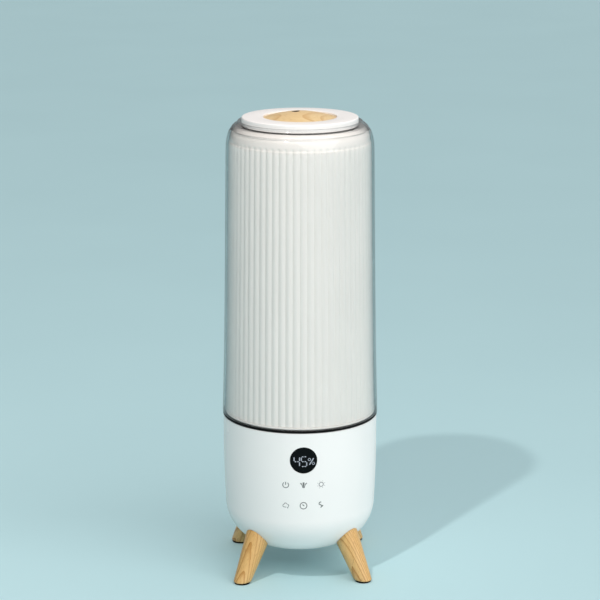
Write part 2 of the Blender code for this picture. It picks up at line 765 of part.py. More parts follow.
def ribbed_sleeve(mat):
    """A thin tapered tube with upright ribs outside, closed in by a smooth shoulder at its top."""
    outline = [
        (SLEEVE_R0 - SLEEVE_WALL, FLOOR_TOP_Z + GAP, 0.0),
        (SLEEVE_R0, FLOOR_TOP_Z + GAP, RIB_DEPTH),
        (SLEEVE_R1, RIB_TOP_Z, RIB_DEPTH),
    ]
    outline += [(r, z, 0.0) for r, z in SHOULDER_OUT + SHOULDER_IN]
    outline.append((SLEEVE_R1 - SLEEVE_WALL, RIB_TOP_Z, 0.0))
    bm = bmesh.new()
    count = 2 * RIBS
    loops = []
    for radius, z, depth in outline:
        loop = []
        for i in range(count):
            a = 2.0 * pi * i / count
            r = radius - (depth if i % 2 else 0.0)
            loop.append(bm.verts.new((r * cos(a), r * sin(a), z)))
        loops.append(loop)
    for loop, following in zip(loops, loops[1:] + loops[:1]):
        for i in range(count):
            j = (i + 1) % count
            bm.faces.new((loop[i], loop[j], following[j], following[i]))
    bmesh.ops.recalc_face_normals(bm, faces=bm.faces)
    add("ribbed_sleeve", bm, mat)


def tank_floor(mat):
    floor = add("tank_floor", ring(HOOD_R + GAP, FLOOR_R, TANK_Z0, FLOOR_TOP_Z, WIDE_STEPS), mat)
    hole = guide("valve_hole", rod(VALVE_HOLE, 0.180, 0.200, 16, at(VALVE_X, 0.0)))
    combine(floor, "DIFFERENCE", hole)
    skirt = [
        (SKIRT_BORE, SKIRT_Z),
        (SKIRT_R - 0.0006, SKIRT_Z),
        (SKIRT_R, SKIRT_Z + 0.0008),
        (SKIRT_R, TANK_Z0 - GAP),
        (SKIRT_BORE, TANK_Z0 - GAP),
    ]
    add("tank_skirt", turned(skirt, WIDE_STEPS), mat)


def mist_hood(mat):
    """A dome over the transducer, held in the tank floor between a flange and a bead."""
    flange_z = FLOOR_TOP_Z + GAP
    bead_z = TANK_Z0 - GAP
    bore = HOOD_R - HOOD_WALL
    outline = [
        (TUBE_BORE, HOOD_TOP_Z - HOOD_WALL),
        (TUBE_BORE, HOOD_TOP_Z),
        (HOOD_R - 0.0030, HOOD_TOP_Z),
        (HOOD_R, HOOD_TOP_Z - 0.0030),
        (HOOD_R, flange_z + 0.0017),
        (HOOD_FLANGE_R, flange_z + 0.0014),
        (HOOD_FLANGE_R, flange_z),
        (HOOD_R, flange_z),
        (HOOD_R, bead_z),
        (HOOD_BEAD_R, bead_z),
        (HOOD_BEAD_R, bead_z - 0.0008),
        (HOOD_R, bead_z - 0.0020),
        (HOOD_R, HOOD_LOW_Z),
        (bore, HOOD_LOW_Z),
        (bore, HOOD_TOP_Z - 0.0045),
        (HOOD_R - 0.0045, HOOD_TOP_Z - HOOD_WALL),
    ]
    add("mist_hood", turned(outline, WIDE_STEPS), mat)


def mist_tube(mat, rubber):
    foot = HOOD_TOP_Z + GAP
    outline = [
        (TUBE_BORE, foot),
        (TUBE_FOOT_R, foot),
        (TUBE_FOOT_R, foot + 0.0020),
        (TUBE_R, foot + 0.0034),
        (TUBE_R, TUBE_TOP_Z),
        (TUBE_BORE, TUBE_TOP_Z),
    ]
    add("mist_tube", turned(outline), mat)
    add("tube_seal", ring(TUBE_R + GAP, 0.0157, 0.5080, 0.5120), rubber)


# ---------------------------------------------------------------- the lid

def lid(mat, rubber):
    outline = [
        (0.0140, CAP_RECESS_Z),
        (CAP_R + 0.0005, CAP_RECESS_Z),
        (CAP_R + 0.0005, LID_Z),
        (LID_R - 0.0016, LID_Z),
        (LID_R - 0.0005, LID_Z - 0.0005),
        (LID_R, LID_Z - 0.0016),
        (LID_R, RIM_STEP_Z + GAP),
        (0.0610, RIM_STEP_Z + GAP),
        (0.0610, 0.5147),
        (0.0625, 0.5147),
        (0.0625, 0.5120),
        (0.0588, 0.5120),
        (0.0588, LID_Z - 0.0025),
        (CAP_R + 0.0025, LID_Z - 0.0025),
        (CAP_R + 0.0025, LID_FLOOR_Z),
        (0.0140, LID_FLOOR_Z),
    ]
    add("lid", turned(outline, WIDE_STEPS), mat)
    add("lid_collar", ring(0.0160, 0.0182, 0.5060, LID_FLOOR_Z - GAP, 24), mat)
    add("lid_seal", ring(0.0613, COLLAR_BORE - GAP, 0.5152, 0.5195, WIDE_STEPS), rubber)


def nozzle(wood, plastic):
    low = CAP_RECESS_Z + GAP
    pocket = INSERT_R + GAP
    dome = [(CAP_R * t, CAP_TOP_Z - (CAP_TOP_Z - CAP_EDGE_Z) * t ** CAP_CROWN)
            for t in (i / 8.0 for i in range(9))]
    outline = dome + [(CAP_R, low), (pocket, low), (pocket, low + 0.0022), (0.0, low + 0.0022)]
    cap = add("nozzle_cap", turned(outline, 32), wood)
    hole = guide("mist_hole", rod(MIST_HOLE_R, 0.525, 0.545, 16, at(MIST_HOLE_X, 0.0)))
    combine(cap, "DIFFERENCE", hole)
    barb = low - 0.0031
    insert = [
        (0.0110, low + 0.0019),
        (INSERT_R, low + 0.0019),
        (INSERT_R, low),
        (0.0136, low),
        (0.0136, barb),
        (0.0150, barb - 0.0004),
        (0.0150, barb - 0.0017),
        (0.0136, barb - 0.0037),
        (0.0136, 0.5200),
        (0.0110, 0.5200),
    ]
    add("nozzle_insert", turned(insert, 32), plastic)


# ---------------------------------------------------------------- assembly

def build():
    for obj in list(bpy.data.objects):
        bpy.data.objects.remove(obj, do_unlink=True)
    white = material("gloss_white", (0.80, 0.81, 0.80), 0.22)
    clear = material("clear_styrene", (0.86, 0.90, 0.91), 0.05, alpha=0.35)
    milk = material("milk_white", (0.84, 0.84, 0.82), 0.45)
    wood = material("beech", (0.66, 0.42, 0.20), 0.55)
    black = material("smoked_acrylic", (0.01, 0.012, 0.012), 0.08)
    dark = material("dark_plastic", (0.05, 0.05, 0.055), 0.5)
    rubber = material("soft_rubber", (0.03, 0.03, 0.03), 0.75)
    silicone = material("white_silicone", (0.72, 0.73, 0.72), 0.6)
    steel = material("zinc_steel", (0.60, 0.60, 0.62), 0.35, metallic=1.0)
    brass = material("plated_brass", (0.72, 0.60, 0.36), 0.3, metallic=1.0)
    green = material("circuit_board", (0.03, 0.16, 0.08), 0.45)
    felt = material("felt", (0.70, 0.68, 0.62), 0.95)
    base_shell(white)
    bottom_cover(white)
    cover_screws(steel)
    legs(wood, rubber, steel)
    water_deck(milk)
    deck_screws(steel)
    rim_seal(rubber)
    display_window(black)
    control_board(green, steel)
    main_board(green, steel)
    power_inlet(dark)
    fan_housing(dark)
    fan_rotor(milk, steel, dark)
    air_duct(milk)
    mist_maker(silicone, brass, steel, steel)
    water_float(milk)
    oil_tray(white, dark, felt)
    valve(milk, silicone, steel)
    tank_wall(clear)
    tank_rim(clear)
    ribbed_sleeve(milk)
    tank_floor(milk)
    mist_hood(milk)
    mist_tube(milk, silicone)
    lid(white, silicone)
    nozzle(wood, milk)


build()
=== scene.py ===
from math import atan2, cos, pi, radians, sin, sqrt, tan

import bmesh
import bpy
from mathutils import Matrix, Vector


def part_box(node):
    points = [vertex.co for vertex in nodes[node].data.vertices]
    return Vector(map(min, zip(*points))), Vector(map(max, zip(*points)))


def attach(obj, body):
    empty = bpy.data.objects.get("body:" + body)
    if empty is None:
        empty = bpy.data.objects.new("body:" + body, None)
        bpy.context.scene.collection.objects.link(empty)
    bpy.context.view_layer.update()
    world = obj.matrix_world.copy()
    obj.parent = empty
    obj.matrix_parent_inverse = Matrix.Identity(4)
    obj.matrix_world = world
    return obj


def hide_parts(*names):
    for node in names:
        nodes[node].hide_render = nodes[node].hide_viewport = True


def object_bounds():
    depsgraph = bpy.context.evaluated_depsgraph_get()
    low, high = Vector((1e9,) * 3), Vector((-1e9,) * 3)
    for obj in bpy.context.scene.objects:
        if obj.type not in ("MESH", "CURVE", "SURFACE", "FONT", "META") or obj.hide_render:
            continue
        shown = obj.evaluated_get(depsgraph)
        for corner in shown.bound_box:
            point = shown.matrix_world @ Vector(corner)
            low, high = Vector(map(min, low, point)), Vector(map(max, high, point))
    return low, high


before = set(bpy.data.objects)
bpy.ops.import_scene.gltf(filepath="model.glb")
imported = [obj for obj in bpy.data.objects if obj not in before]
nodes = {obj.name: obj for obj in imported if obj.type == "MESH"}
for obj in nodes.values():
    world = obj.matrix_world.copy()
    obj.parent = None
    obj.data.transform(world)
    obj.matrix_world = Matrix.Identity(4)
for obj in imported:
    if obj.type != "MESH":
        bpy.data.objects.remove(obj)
cadLow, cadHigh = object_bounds()

# Cool mist humidifier, looks only. Metres, +Z up, the front with its display faces -Y.
mm = 0.001
casingLow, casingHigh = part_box("base_shell")
print("frame loaded,", len(nodes), "CAD nodes")


# Small tools

def linearColour(hexText):
    channels = [int(hexText[i:i + 2], 16) / 255 for i in (1, 3, 5)]
    return [c / 12.92 if c <= 0.04045 else ((c + 0.055) / 1.055) ** 2.4 for c in channels] + [1.0]


def addNode(tree, kind, settings=None, inputs=None):
    node = tree.nodes.new(kind)
    for name, value in (settings or {}).items():
        setattr(node, name, value)
    for socket, value in (inputs or {}).items():
        if isinstance(value, bpy.types.NodeSocket):
            tree.links.new(value, node.inputs[socket])
        else:
            node.inputs[socket].default_value = value
    return node


def calc(tree, operation, *values):
    return addNode(tree, "ShaderNodeMath", {"operation": operation}, dict(enumerate(values))).outputs[0]


def vectorMath(tree, operation, *values):
    return addNode(tree, "ShaderNodeVectorMath", {"operation": operation},
                   dict(enumerate(values))).outputs[0]


def at(x, y, z=0.0):
    return Matrix.Translation((x, y, z))


def aboutZ(angle):
    return Matrix.Rotation(angle, 4, "Z")


def alongY(x, y, z):
    return at(x, y, z) @ Matrix.Rotation(-pi / 2, 4, "X")  # a turned shape's +Z then runs along +Y


def rounded(corners, steps=5):
    # corners are (radius, height) or (radius, height, fillet), and a fillet becomes an arc
    points = []
    for i, corner in enumerate(corners):
        here = Vector(corner[:2])
        fillet = corner[2] if len(corner) > 2 else 0.0
        if not fillet:
            points.append(tuple(here))
            continue
        back = (Vector(corners[i - 1][:2]) - here).normalized()
        ahead = (Vector(corners[(i + 1) % len(corners)][:2]) - here).normalized()
        half = back.angle(ahead) / 2
        centre = here + (back + ahead).normalized() * (fillet / sin(half))
        start = here + back * (fillet / tan(half)) - centre
        end = here + ahead * (fillet / tan(half)) - centre
        first = atan2(start.y, start.x)
        sweep = (atan2(end.y, end.x) - first + pi) % (2 * pi) - pi
        for k in range(steps + 1):
            a = first + sweep * k / steps
            points.append((centre.x + fillet * cos(a), centre.y + fillet * sin(a)))
    return points


def smoothLine(points, pieces=6):
    # a Catmull-Rom line through (radius, height) points
    line = []
    for i in range(len(points) - 1):
        a, b, c, d = (Vector(points[min(max(i + k, 0), len(points) - 1)]) for k in (-1, 0, 1, 2))
        for k in range(pieces):
            t = k / pieces
            p = 2 * b + (c - a) * t + (2 * a - 5 * b + 4 * c - d) * t * t + (3 * b - a - 3 * c + d) * t ** 3
            line.append((p.x / 2, p.y / 2))
    return line + [tuple(points[-1])]


def turnedShape(outline, steps, place=Matrix()):
    # closed (radius, height) outline turned about Z; points on the axis become poles
    bm = bmesh.new()
    rings = []
    for r, z in outline:
        if r < 1e-7:
            rings.append([bm.verts.new((0.0, 0.0, z))])
        else:
            angles = (2 * pi * i / steps for i in range(steps))
            rings.append([bm.verts.new((r * cos(a), r * sin(a), z)) for a in angles])
    for ring, following in zip(rings, rings[1:] + rings[:1]):
        for i in range(steps):
            j = (i + 1) % steps
            quad = [ring[i % len(ring)], ring[j % len(ring)]]
            quad += [following[j % len(following)], following[i % len(following)]]
            corners = list(dict.fromkeys(quad))
            if len(corners) > 2:
                bm.faces.new(corners)
    return outward(bm, place)


def outward(bm, place=Matrix()):
    bmesh.ops.recalc_face_normals(bm, faces=bm.faces)
    if bm.calc_volume(signed=True) < 0:
        bmesh.ops.reverse_faces(bm, faces=bm.faces)
    bmesh.ops.transform(bm, matrix=place, verts=bm.verts)
    return bm


def rodShape(radius, z0, z1, steps=32, place=Matrix()):
    outline = [(0.0, z0), (radius, z0), (radius, z1), (0.0, z1)]
    return turnedShape(outline, steps, place @ aboutZ(pi / steps))


def slabShape(halfX, z0, z1, y0, y1, corner=0.0, steps=5):
    # a block along Y whose XZ section has rounded corners
    section = [(halfX, z0), (halfX, z1), (-halfX, z1), (-halfX, z0)]
    if corner:
        section = rounded([(x, z, corner) for x, z in section], steps)
    bm = bmesh.new()
    near = [bm.verts.new((x, y0, z)) for x, z in section]
    far = [bm.verts.new((x, y1, z)) for x, z in section]
    bm.faces.new(near)
    bm.faces.new(far[::-1])
    for i in range(len(near)):
        j = (i + 1) % len(near)
        bm.faces.new((near[j], near[i], far[i], far[j]))
    return outward(bm)


def gathered(shapes):
    whole = bmesh.new()
    for shape in shapes:
        mesh = bpy.data.meshes.new("shape")
        shape.to_mesh(mesh)
        shape.free()
        whole.from_mesh(mesh)
        bpy.data.meshes.remove(mesh)
    return whole


def linked(name, data):
    obj = bpy.data.objects.new(name, data)
    bpy.context.scene.collection.objects.link(obj)
    return obj


def makeObject(name, shape):
    mesh = bpy.data.meshes.new(name)
    shape.to_mesh(mesh)
    shape.free()
    return linked(name, mesh)


def freeze(obj):
    # turn an object's modifiers into its plain mesh
    bpy.context.view_layer.update()
    evaluated = obj.evaluated_get(bpy.context.evaluated_depsgraph_get())
    mesh = bpy.data.meshes.new_from_object(evaluated)
    obj.modifiers.clear()
    obj.data = mesh
    return obj


def combine(obj, steps):
    # steps are (operation, shape) pairs, each an exact Boolean
    helpers = []
    for operation, shape in steps:
        helper = makeObject("helper", shape)
        helper.hide_render = True
        helpers.append(helper)
        boolean = obj.modifiers.new(operation, "BOOLEAN")
        boolean.operation = operation
        boolean.object = helper
        boolean.solver = "EXACT"
    freeze(obj)
    for helper in helpers:
        bpy.data.objects.remove(helper, do_unlink=True)
    return obj


def shadeSmooth(obj, sharp=30):
    obj.data.shade_smooth()
    obj.data.set_sharp_from_angle(angle=radians(sharp))
    return obj


def dress(obj, material):
    obj.data.materials.clear()
    obj.data.materials.append(material)
    return obj


def startTree(name, sockets):
    # a Geometry Nodes tree with named inputs, each (label, socket type, value)
    tree = bpy.data.node_groups.new(name, "GeometryNodeTree")
    tree.interface.new_socket("Geometry", in_out="OUTPUT", socket_type="NodeSocketGeometry")
    tree.interface.new_socket("Geometry", in_out="INPUT", socket_type="NodeSocketGeometry")
    for label, kind, value in sockets:
        socket = tree.interface.new_socket(label, in_out="INPUT", socket_type="NodeSocket" + kind)
        if value is not None:
            socket.default_value = value
    tree.interface.new_socket("Finish", in_out="INPUT", socket_type="NodeSocketMaterial")
    return tree, addNode(tree, "NodeGroupInput").outputs


def endTree(tree, geometry, given):
    real = addNode(tree, "GeometryNodeRealizeInstances", inputs={"Geometry": geometry})
    done = addNode(tree, "GeometryNodeSetMaterial",
                   inputs={"Geometry": real.outputs[0], "Material": given["Finish"]})
    addNode(tree, "NodeGroupOutput", inputs={"Geometry": done.outputs[0]})
    return tree


def runTree(obj, tree, values):
    nodesStep = obj.modifiers.new("nodes", "NODES")
    nodesStep.node_group = tree
    for item in tree.interface.items_tree:
        if item.item_type == "SOCKET" and item.in_out == "INPUT" and item.name in values:
            nodesStep[item.identifier] = values[item.name]
    return freeze(obj)


def settle(obj, body, slot, *stoodFor):
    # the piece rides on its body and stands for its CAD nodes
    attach(obj, body)
    if stoodFor:
        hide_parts(*stoodFor)
    return obj


# Materials

def startMaterial(name, shader):
    material = bpy.data.materials.new(name)
    material.use_nodes = True
    tree = material.node_tree
    tree.nodes.clear()
    surface = addNode(tree, "ShaderNodeBsdfPrincipled", inputs=shader)
    addNode(tree, "ShaderNodeOutputMaterial", inputs={"Surface": surface.outputs[0]})
    place = addNode(tree, "ShaderNodeTexCoord").outputs["Object"]
    return material, tree, surface, place


def perSize(sizeMm):
    return 1000.0 / sizeMm  # a noise scale whose grains are that many millimetres


def noise(tree, place, sizeMm, detail=2.0, stretch=(1, 1, 1)):
    turned = addNode(tree, "ShaderNodeMapping", inputs={"Vector": place, "Scale": stretch})
    grains = addNode(tree, "ShaderNodeTexNoise",
                     inputs={"Vector": turned.outputs[0], "Scale": perSize(sizeMm), "Detail": detail})
    return grains.outputs["Fac"]


def between(tree, value, low, high, first=0.3, last=0.7):
    spread = addNode(tree, "ShaderNodeMapRange",
                     inputs={"Value": value, "From Min": first, "From Max": last, "To Min": low,
                             "To Max": high})
    return spread.outputs[0]


def blendColours(tree, factor, first, second):
    return addNode(tree, "ShaderNodeMix", {"data_type": "RGBA"}, {0: factor, 6: first, 7: second}).outputs[2]


def twoTones(tree, factor, first, second):
    return blendColours(tree, between(tree, factor, 0, 1), linearColour(first), linearColour(second))


def raiseSurface(tree, surface, height, depthMm):
    bump = addNode(tree, "ShaderNodeBump", inputs={"Height": height, "Distance": depthMm * mm})
    tree.links.new(bump.outputs[0], surface.inputs["Normal"])


def mouldedPlastic(name, look):
    # an injection moulding: faint clouds in its colour, uneven gloss, and the tool's fine texture
    shader = {"Roughness": look["gloss"][0], "IOR": look.get("ior", 1.53)}
    shader.update(look.get("shader", {}))
    material, tree, surface, place = startMaterial(name, shader)
    colour = twoTones(tree, noise(tree, place, look["cloudMm"]), look["colour"], look["shade"])
    tree.links.new(colour, surface.inputs["Base Color"])
    smears = noise(tree, place, look["smearMm"], 1.0, look.get("smearStretch", (1, 1, 1)))
    tree.links.new(between(tree, smears, *look["gloss"]), surface.inputs["Roughness"])
    raiseSurface(tree, surface, noise(tree, place, look["grainMm"], 3.0), look["grainDepthMm"])
    return material


# ABS from a polished tool: a deep gloss with a faint orange peel
glossAbs = mouldedPlastic("whiteGlossAbs", {
    "colour": "#FAF8F6", "shade": "#F8F6F4", "cloudMm": 90, "smearMm": 120, "gloss": (0.26, 0.275),
    "grainMm": 2.2, "grainDepthMm": 0.006})
# polypropylene from a fine-blasted tool: milky, satin, a little light goes in
milkPolypropylene = mouldedPlastic("milkyPolypropylene", {
    "colour": "#F1F1EE", "shade": "#E9EAE6", "cloudMm": 45, "smearMm": 12, "gloss": (0.38, 0.52),
    "ior": 1.49, "grainMm": 0.9, "grainDepthMm": 0.012})
# the fluted sleeve, the same resin drawn from a long tool: faint upright draw marks along each flute
sleeveResin = mouldedPlastic("drawnMilkyResin", {
    "colour": "#F3EFEA", "shade": "#F0ECE7", "cloudMm": 60, "smearMm": 5, "smearStretch": (1, 1, 0.03),
    "gloss": (0.41, 0.45), "ior": 1.49, "grainMm": 1.1, "grainDepthMm": 0.010})
# glass-filled nylon for the hidden housings: dark, matt, with a sparkle of fibre
blackNylon = mouldedPlastic("glassFilledNylon", {
    "colour": "#242526", "shade": "#303133", "cloudMm": 3, "smearMm": 4, "gloss": (0.45, 0.62),
    "grainMm": 0.7, "grainDepthMm": 0.04})
# moulded silicone: soft, matt and slightly waxy
whiteSilicone = mouldedPlastic("whiteSilicone", {
    "colour": "#DEDFDC", "shade": "#D3D5D2", "cloudMm": 6, "smearMm": 3, "gloss": (0.50, 0.66), "ior": 1.41,
    "grainMm": 0.8, "grainDepthMm": 0.02})
# black TPE: nearly black, a low sheen where it is pressed
blackRubber = mouldedPlastic("blackSoftRubber", {
    "colour": "#0E0F0F", "shade": "#151616", "cloudMm": 5, "smearMm": 3, "gloss": (0.42, 0.60), "ior": 1.50,
    "grainMm": 0.6, "grainDepthMm": 0.02, "shader": {"Specular IOR Level": 0.15}})
# acrylic tinted almost black and polished: a mirror-like face
smokedAcrylic = mouldedPlastic("smokedAcrylic", {
    "colour": "#050708", "shade": "#080B0D", "cloudMm": 14, "smearMm": 9, "gloss": (0.05, 0.12), "ior": 1.49,
    "grainMm": 3.0, "grainDepthMm": 0.001, "shader": {"Specular IOR Level": 0.10}})
# pad-printed grey ink for the touch symbols: dense, satin, slightly uneven in film
greyInk = mouldedPlastic("greyPadInk", {
    "colour": "#6B6E6D", "shade": "#767978", "cloudMm": 0.9, "smearMm": 0.7, "gloss": (0.40, 0.55),
    "grainMm": 0.3, "grainDepthMm": 0.003})
paleInk = mouldedPlastic("palePadInk", {
    "colour": "#949394", "shade": "#9E9D9E", "cloudMm": 0.9, "smearMm": 0.7, "gloss": (0.40, 0.55),
    "grainMm": 0.3, "grainDepthMm": 0.003})


def clearStyrene(name, look):
    # polished styrene acrylonitrile: water-clear face on, grey-green where the wall is seen edge on
    material = bpy.data.materials.new(name)
    material.use_nodes = True
    tree = material.node_tree
    tree.nodes.clear()
    place = addNode(tree, "ShaderNodeTexCoord").outputs["Object"]
    flow = addNode(tree, "ShaderNodeBump", inputs={
        "Height": noise(tree, place, look["flowMm"]), "Distance": look["flowDepthMm"] * mm}).outputs[0]
    slant = addNode(tree, "ShaderNodeLayerWeight", inputs={"Blend": 0.5, "Normal": flow}).outputs["Facing"]
    edge = calc(tree, "POWER", slant, look["edgePower"])
    tint = blendColours(tree, edge, linearColour(look["face"]), linearColour(look["edge"]))
    through = addNode(tree, "ShaderNodeBsdfTransparent", inputs={"Color": tint}).outputs[0]
    smears = noise(tree, place, look["smearMm"], 2.0, (1, 1, 0.3))
    shine = addNode(tree, "ShaderNodeBsdfAnisotropic", inputs={
        "Roughness": between(tree, smears, *look["gloss"]), "Normal": flow}).outputs[0]
    graze = calc(tree, "POWER", slant, look["mirrorPower"])
    mirror = calc(tree, "MULTIPLY_ADD", graze, 1 - look["mirror"], look["mirror"])
    body = addNode(tree, "ShaderNodeMixShader", inputs={0: mirror, 1: through, 2: shine}).outputs[0]
    addNode(tree, "ShaderNodeOutputMaterial", inputs={"Surface": body})
    return material


def beech(name, look):
    # beech, turned, sanded and satin lacquered: pale growth rings, straight fibre, short darker ray flecks.
    # It reads the "grain" attribute, whose Z runs along the fibres, in metres.
    lacquer = {"IOR": 1.50, "Coat Weight": 0.15, "Coat Roughness": 0.3}
    material, tree, surface, place = startMaterial(name, lacquer)
    grain = addNode(tree, "ShaderNodeAttribute", {"attribute_name": "grain"}).outputs["Vector"]
    stretched = addNode(tree, "ShaderNodeMapping",
                        inputs={"Vector": grain, "Scale": (1, 1, 0.35)}).outputs[0]
    sway = addNode(tree, "ShaderNodeTexNoise", inputs={
        "Vector": stretched, "Scale": perSize(look["swayMm"]), "Detail": 1.0}).outputs["Color"]
    centred = vectorMath(tree, "SUBTRACT", sway, (0.5, 0.5, 0.5))
    moved = vectorMath(tree, "MULTIPLY_ADD", centred, (look["swayBy"],) * 3, grain)
    fromPith = addNode(tree, "ShaderNodeMapping", inputs={
        "Vector": moved, "Location": look["pith"], "Rotation": look["tilt"]}).outputs[0]
    # a ring wave repeats every 2 pi / (20 * scale) metres
    rings = addNode(tree, "ShaderNodeTexWave",
                    {"wave_type": "RINGS", "rings_direction": "Z", "wave_profile": "SAW"},
                    {"Vector": fromPith, "Scale": 2 * pi / (20 * look["ringMm"] * mm),
                     "Distortion": look["ragged"], "Detail": 2.0, "Detail Scale": 2.0}).outputs["Fac"]
    fibres = noise(tree, moved, look["fibreMm"], 3.0, (1, 1, 0.02))
    flecks = noise(tree, moved, look["fleckMm"], 1.0, (1, 0.45, 0.12))
    patches = noise(tree, grain, 22, 1.0, (1, 1, 0.4))
    ringTone = addNode(tree, "ShaderNodeValToRGB", inputs={"Fac": rings})
    ramp = ringTone.color_ramp
    ramp.elements[0].color = linearColour(look["early"])
    ramp.elements[1].color = linearColour(look["late"])
    ramp.elements[1].position = 0.97
    ramp.elements.new(0.62).color = linearColour(look["early"])
    warm, dark = linearColour(look["warm"]), linearColour(look["dark"])
    colour = blendColours(tree, between(tree, patches, 0.0, 0.5), ringTone.outputs[0], warm)
    colour = blendColours(tree, between(tree, fibres, 0.0, look["fibreTone"]), colour, dark)
    colour = blendColours(tree, between(tree, flecks, 0.0, look["fleckTone"], 0.62, 0.70), colour, dark)
    tree.links.new(colour, surface.inputs["Base Color"])
    tree.links.new(between(tree, fibres, 0.36, 0.52), surface.inputs["Roughness"])
    raiseSurface(tree, surface, fibres, 0.05)
    return material


legBeech = beech("lacqueredBeechLegs", {
    "early": "#E6BF80", "late": "#B27A3A", "warm": "#DCAA60", "dark": "#9A6730", "ringMm": 2.8,
    "pith": (0.019, 0.006, 0), "tilt": (0.10, -0.14, 0), "ragged": 0.7, "swayMm": 24, "swayBy": 0.006,
    "fibreMm": 0.45, "fibreTone": 0.30, "fleckMm": 0.8, "fleckTone": 0.4})
capWood = {
    "early": "#E9CE98", "late": "#CDA568", "warm": "#DFBB81", "dark": "#A97D44", "ringMm": 4.2,
    "pith": (0.031, 0.012, 0), "tilt": (0.04, 0.08, 0), "ragged": 0.5, "swayMm": 38, "swayBy": 0.005,
    "fibreMm": 0.5, "fibreTone": 0.30, "fleckMm": 0.9, "fleckTone": 0.35}
capBeech = beech("lacqueredBeechCap", capWood)
# the bored end grain round the mist hole, painted dark as the shade that falls inside the bore
shadedBoreBeech = beech("paintedShadeBoreBeech", {
    **capWood, "early": "#2E2115", "late": "#20160D", "warm": "#2A1D11", "dark": "#150E08"})


def platedMetal(name, look):
    # turned or pressed metal with a plated skin: even shine, faint clouds and fine lines from the die
    material, tree, surface, place = startMaterial(name, {"Metallic": 1.0})
    clouds = noise(tree, place, look["cloudMm"], 3.0)
    colour = twoTones(tree, clouds, look["colour"], look["shade"])
    tree.links.new(colour, surface.inputs["Base Color"])
    tree.links.new(between(tree, clouds, *look["gloss"]), surface.inputs["Roughness"])
    raiseSurface(tree, surface, noise(tree, place, look["lineMm"], 2.0, look["lineStretch"]), 0.01)
    return material


# zinc-plated steel: blue-white, with yellow clouds from its passivation
zincSteel = platedMetal("zincPlatedSteel", {
    "colour": "#BFC4C9", "shade": "#C9C3AE", "cloudMm": 2.5, "gloss": (0.24, 0.40), "lineMm": 0.3,
    "lineStretch": (1, 1, 1)})
# ground steel for the shaft and spring: bright, with fine rings round it
groundSteel = platedMetal("groundSteel", {
    "colour": "#C6C7C9", "shade": "#B4B6B9", "cloudMm": 1.5, "gloss": (0.18, 0.30), "lineMm": 0.25,
    "lineStretch": (0.05, 0.05, 1)})
# nickel on the brass electrode: warm grey, with the ring of its silvered face
nickelBrass = platedMetal("nickelPlatedBrass", {
    "colour": "#CFC3A0", "shade": "#C7B98E", "cloudMm": 3.0, "gloss": (0.20, 0.34), "lineMm": 0.4,
    "lineStretch": (1, 1, 1)})


def solderMask():
    # green solder mask over etched copper: raised tracks show lighter, with tinned pads
    material, tree, surface, place = startMaterial("greenSolderMask", {"IOR": 1.52, "Roughness": 0.35})
    tracks = addNode(tree, "ShaderNodeTexVoronoi", {"feature": "DISTANCE_TO_EDGE"},
                     {"Vector": place, "Scale": perSize(4.2), "Randomness": 0.55}).outputs["Distance"]
    line = between(tree, tracks, 1.0, 0.0, 0.05, 0.09)
    pads = addNode(tree, "ShaderNodeTexVoronoi", {"feature": "F1"},
                   {"Vector": place, "Scale": perSize(3.1), "Randomness": 0.3}).outputs["Distance"]
    dot = between(tree, pads, 1.0, 0.0, 0.16, 0.20)
    colour = blendColours(tree, line, linearColour("#1B5B38"), linearColour("#2E7A4C"))
    colour = blendColours(tree, dot, colour, linearColour("#C3C6C4"))
    tree.links.new(colour, surface.inputs["Base Color"])
    tree.links.new(between(tree, dot, 0.35, 0.25, 0, 1), surface.inputs["Roughness"])
    raiseSurface(tree, surface, line, 0.035)
    return material


def pressedFelt():
    # pressed wool felt: matted fibres, no sheen but a soft edge
    material, tree, surface, place = startMaterial("pressedFelt", {
        "Roughness": 0.95, "Sheen Weight": 0.4, "Sheen Roughness": 0.6})
    fibres = noise(tree, place, 0.5, 6.0, (1, 0.35, 1))
    tree.links.new(twoTones(tree, fibres, "#E3DFD3", "#CBC6B7"), surface.inputs["Base Color"])
    raiseSurface(tree, surface, fibres, 0.25)
    return material


def segmentLight():
    # lit segments behind the smoked face: a cool white, a little brighter in the middle of each lamp
    material, tree, surface, place = startMaterial("litSegment", {
        "Base Color": linearColour("#20262B"), "Roughness": 0.3, "Emission Color": linearColour("#BBC6D2")})
    lamps = noise(tree, place, 1.6, 1.0)
    tree.links.new(between(tree, lamps, 0.62, 0.90), surface.inputs["Emission Strength"])
    return material


boardMask = solderMask()
woolFelt = pressedFelt()
litSegment = segmentLight()
wallResin = {
    "face": "#FFFFFF", "edge": "#47666A", "edgePower": 6, "gloss": (0.02, 0.06), "smearMm": 18, "flowMm": 30,
    "flowDepthMm": 0.02, "mirror": 0.025, "mirrorPower": 5}
clearTank = clearStyrene("clearStyrene", wallResin)
# the same resin in the thick moulded lip, with a darker edge tint: painted shade for the dark that lies
# below its upper land
shadedClearLip = clearStyrene("clearStyreneLipPaintedShade", {**wallResin, "edge": "#23383D", "edgePower": 3.6})
print("materials made")


# Geometry Nodes trees for what repeats

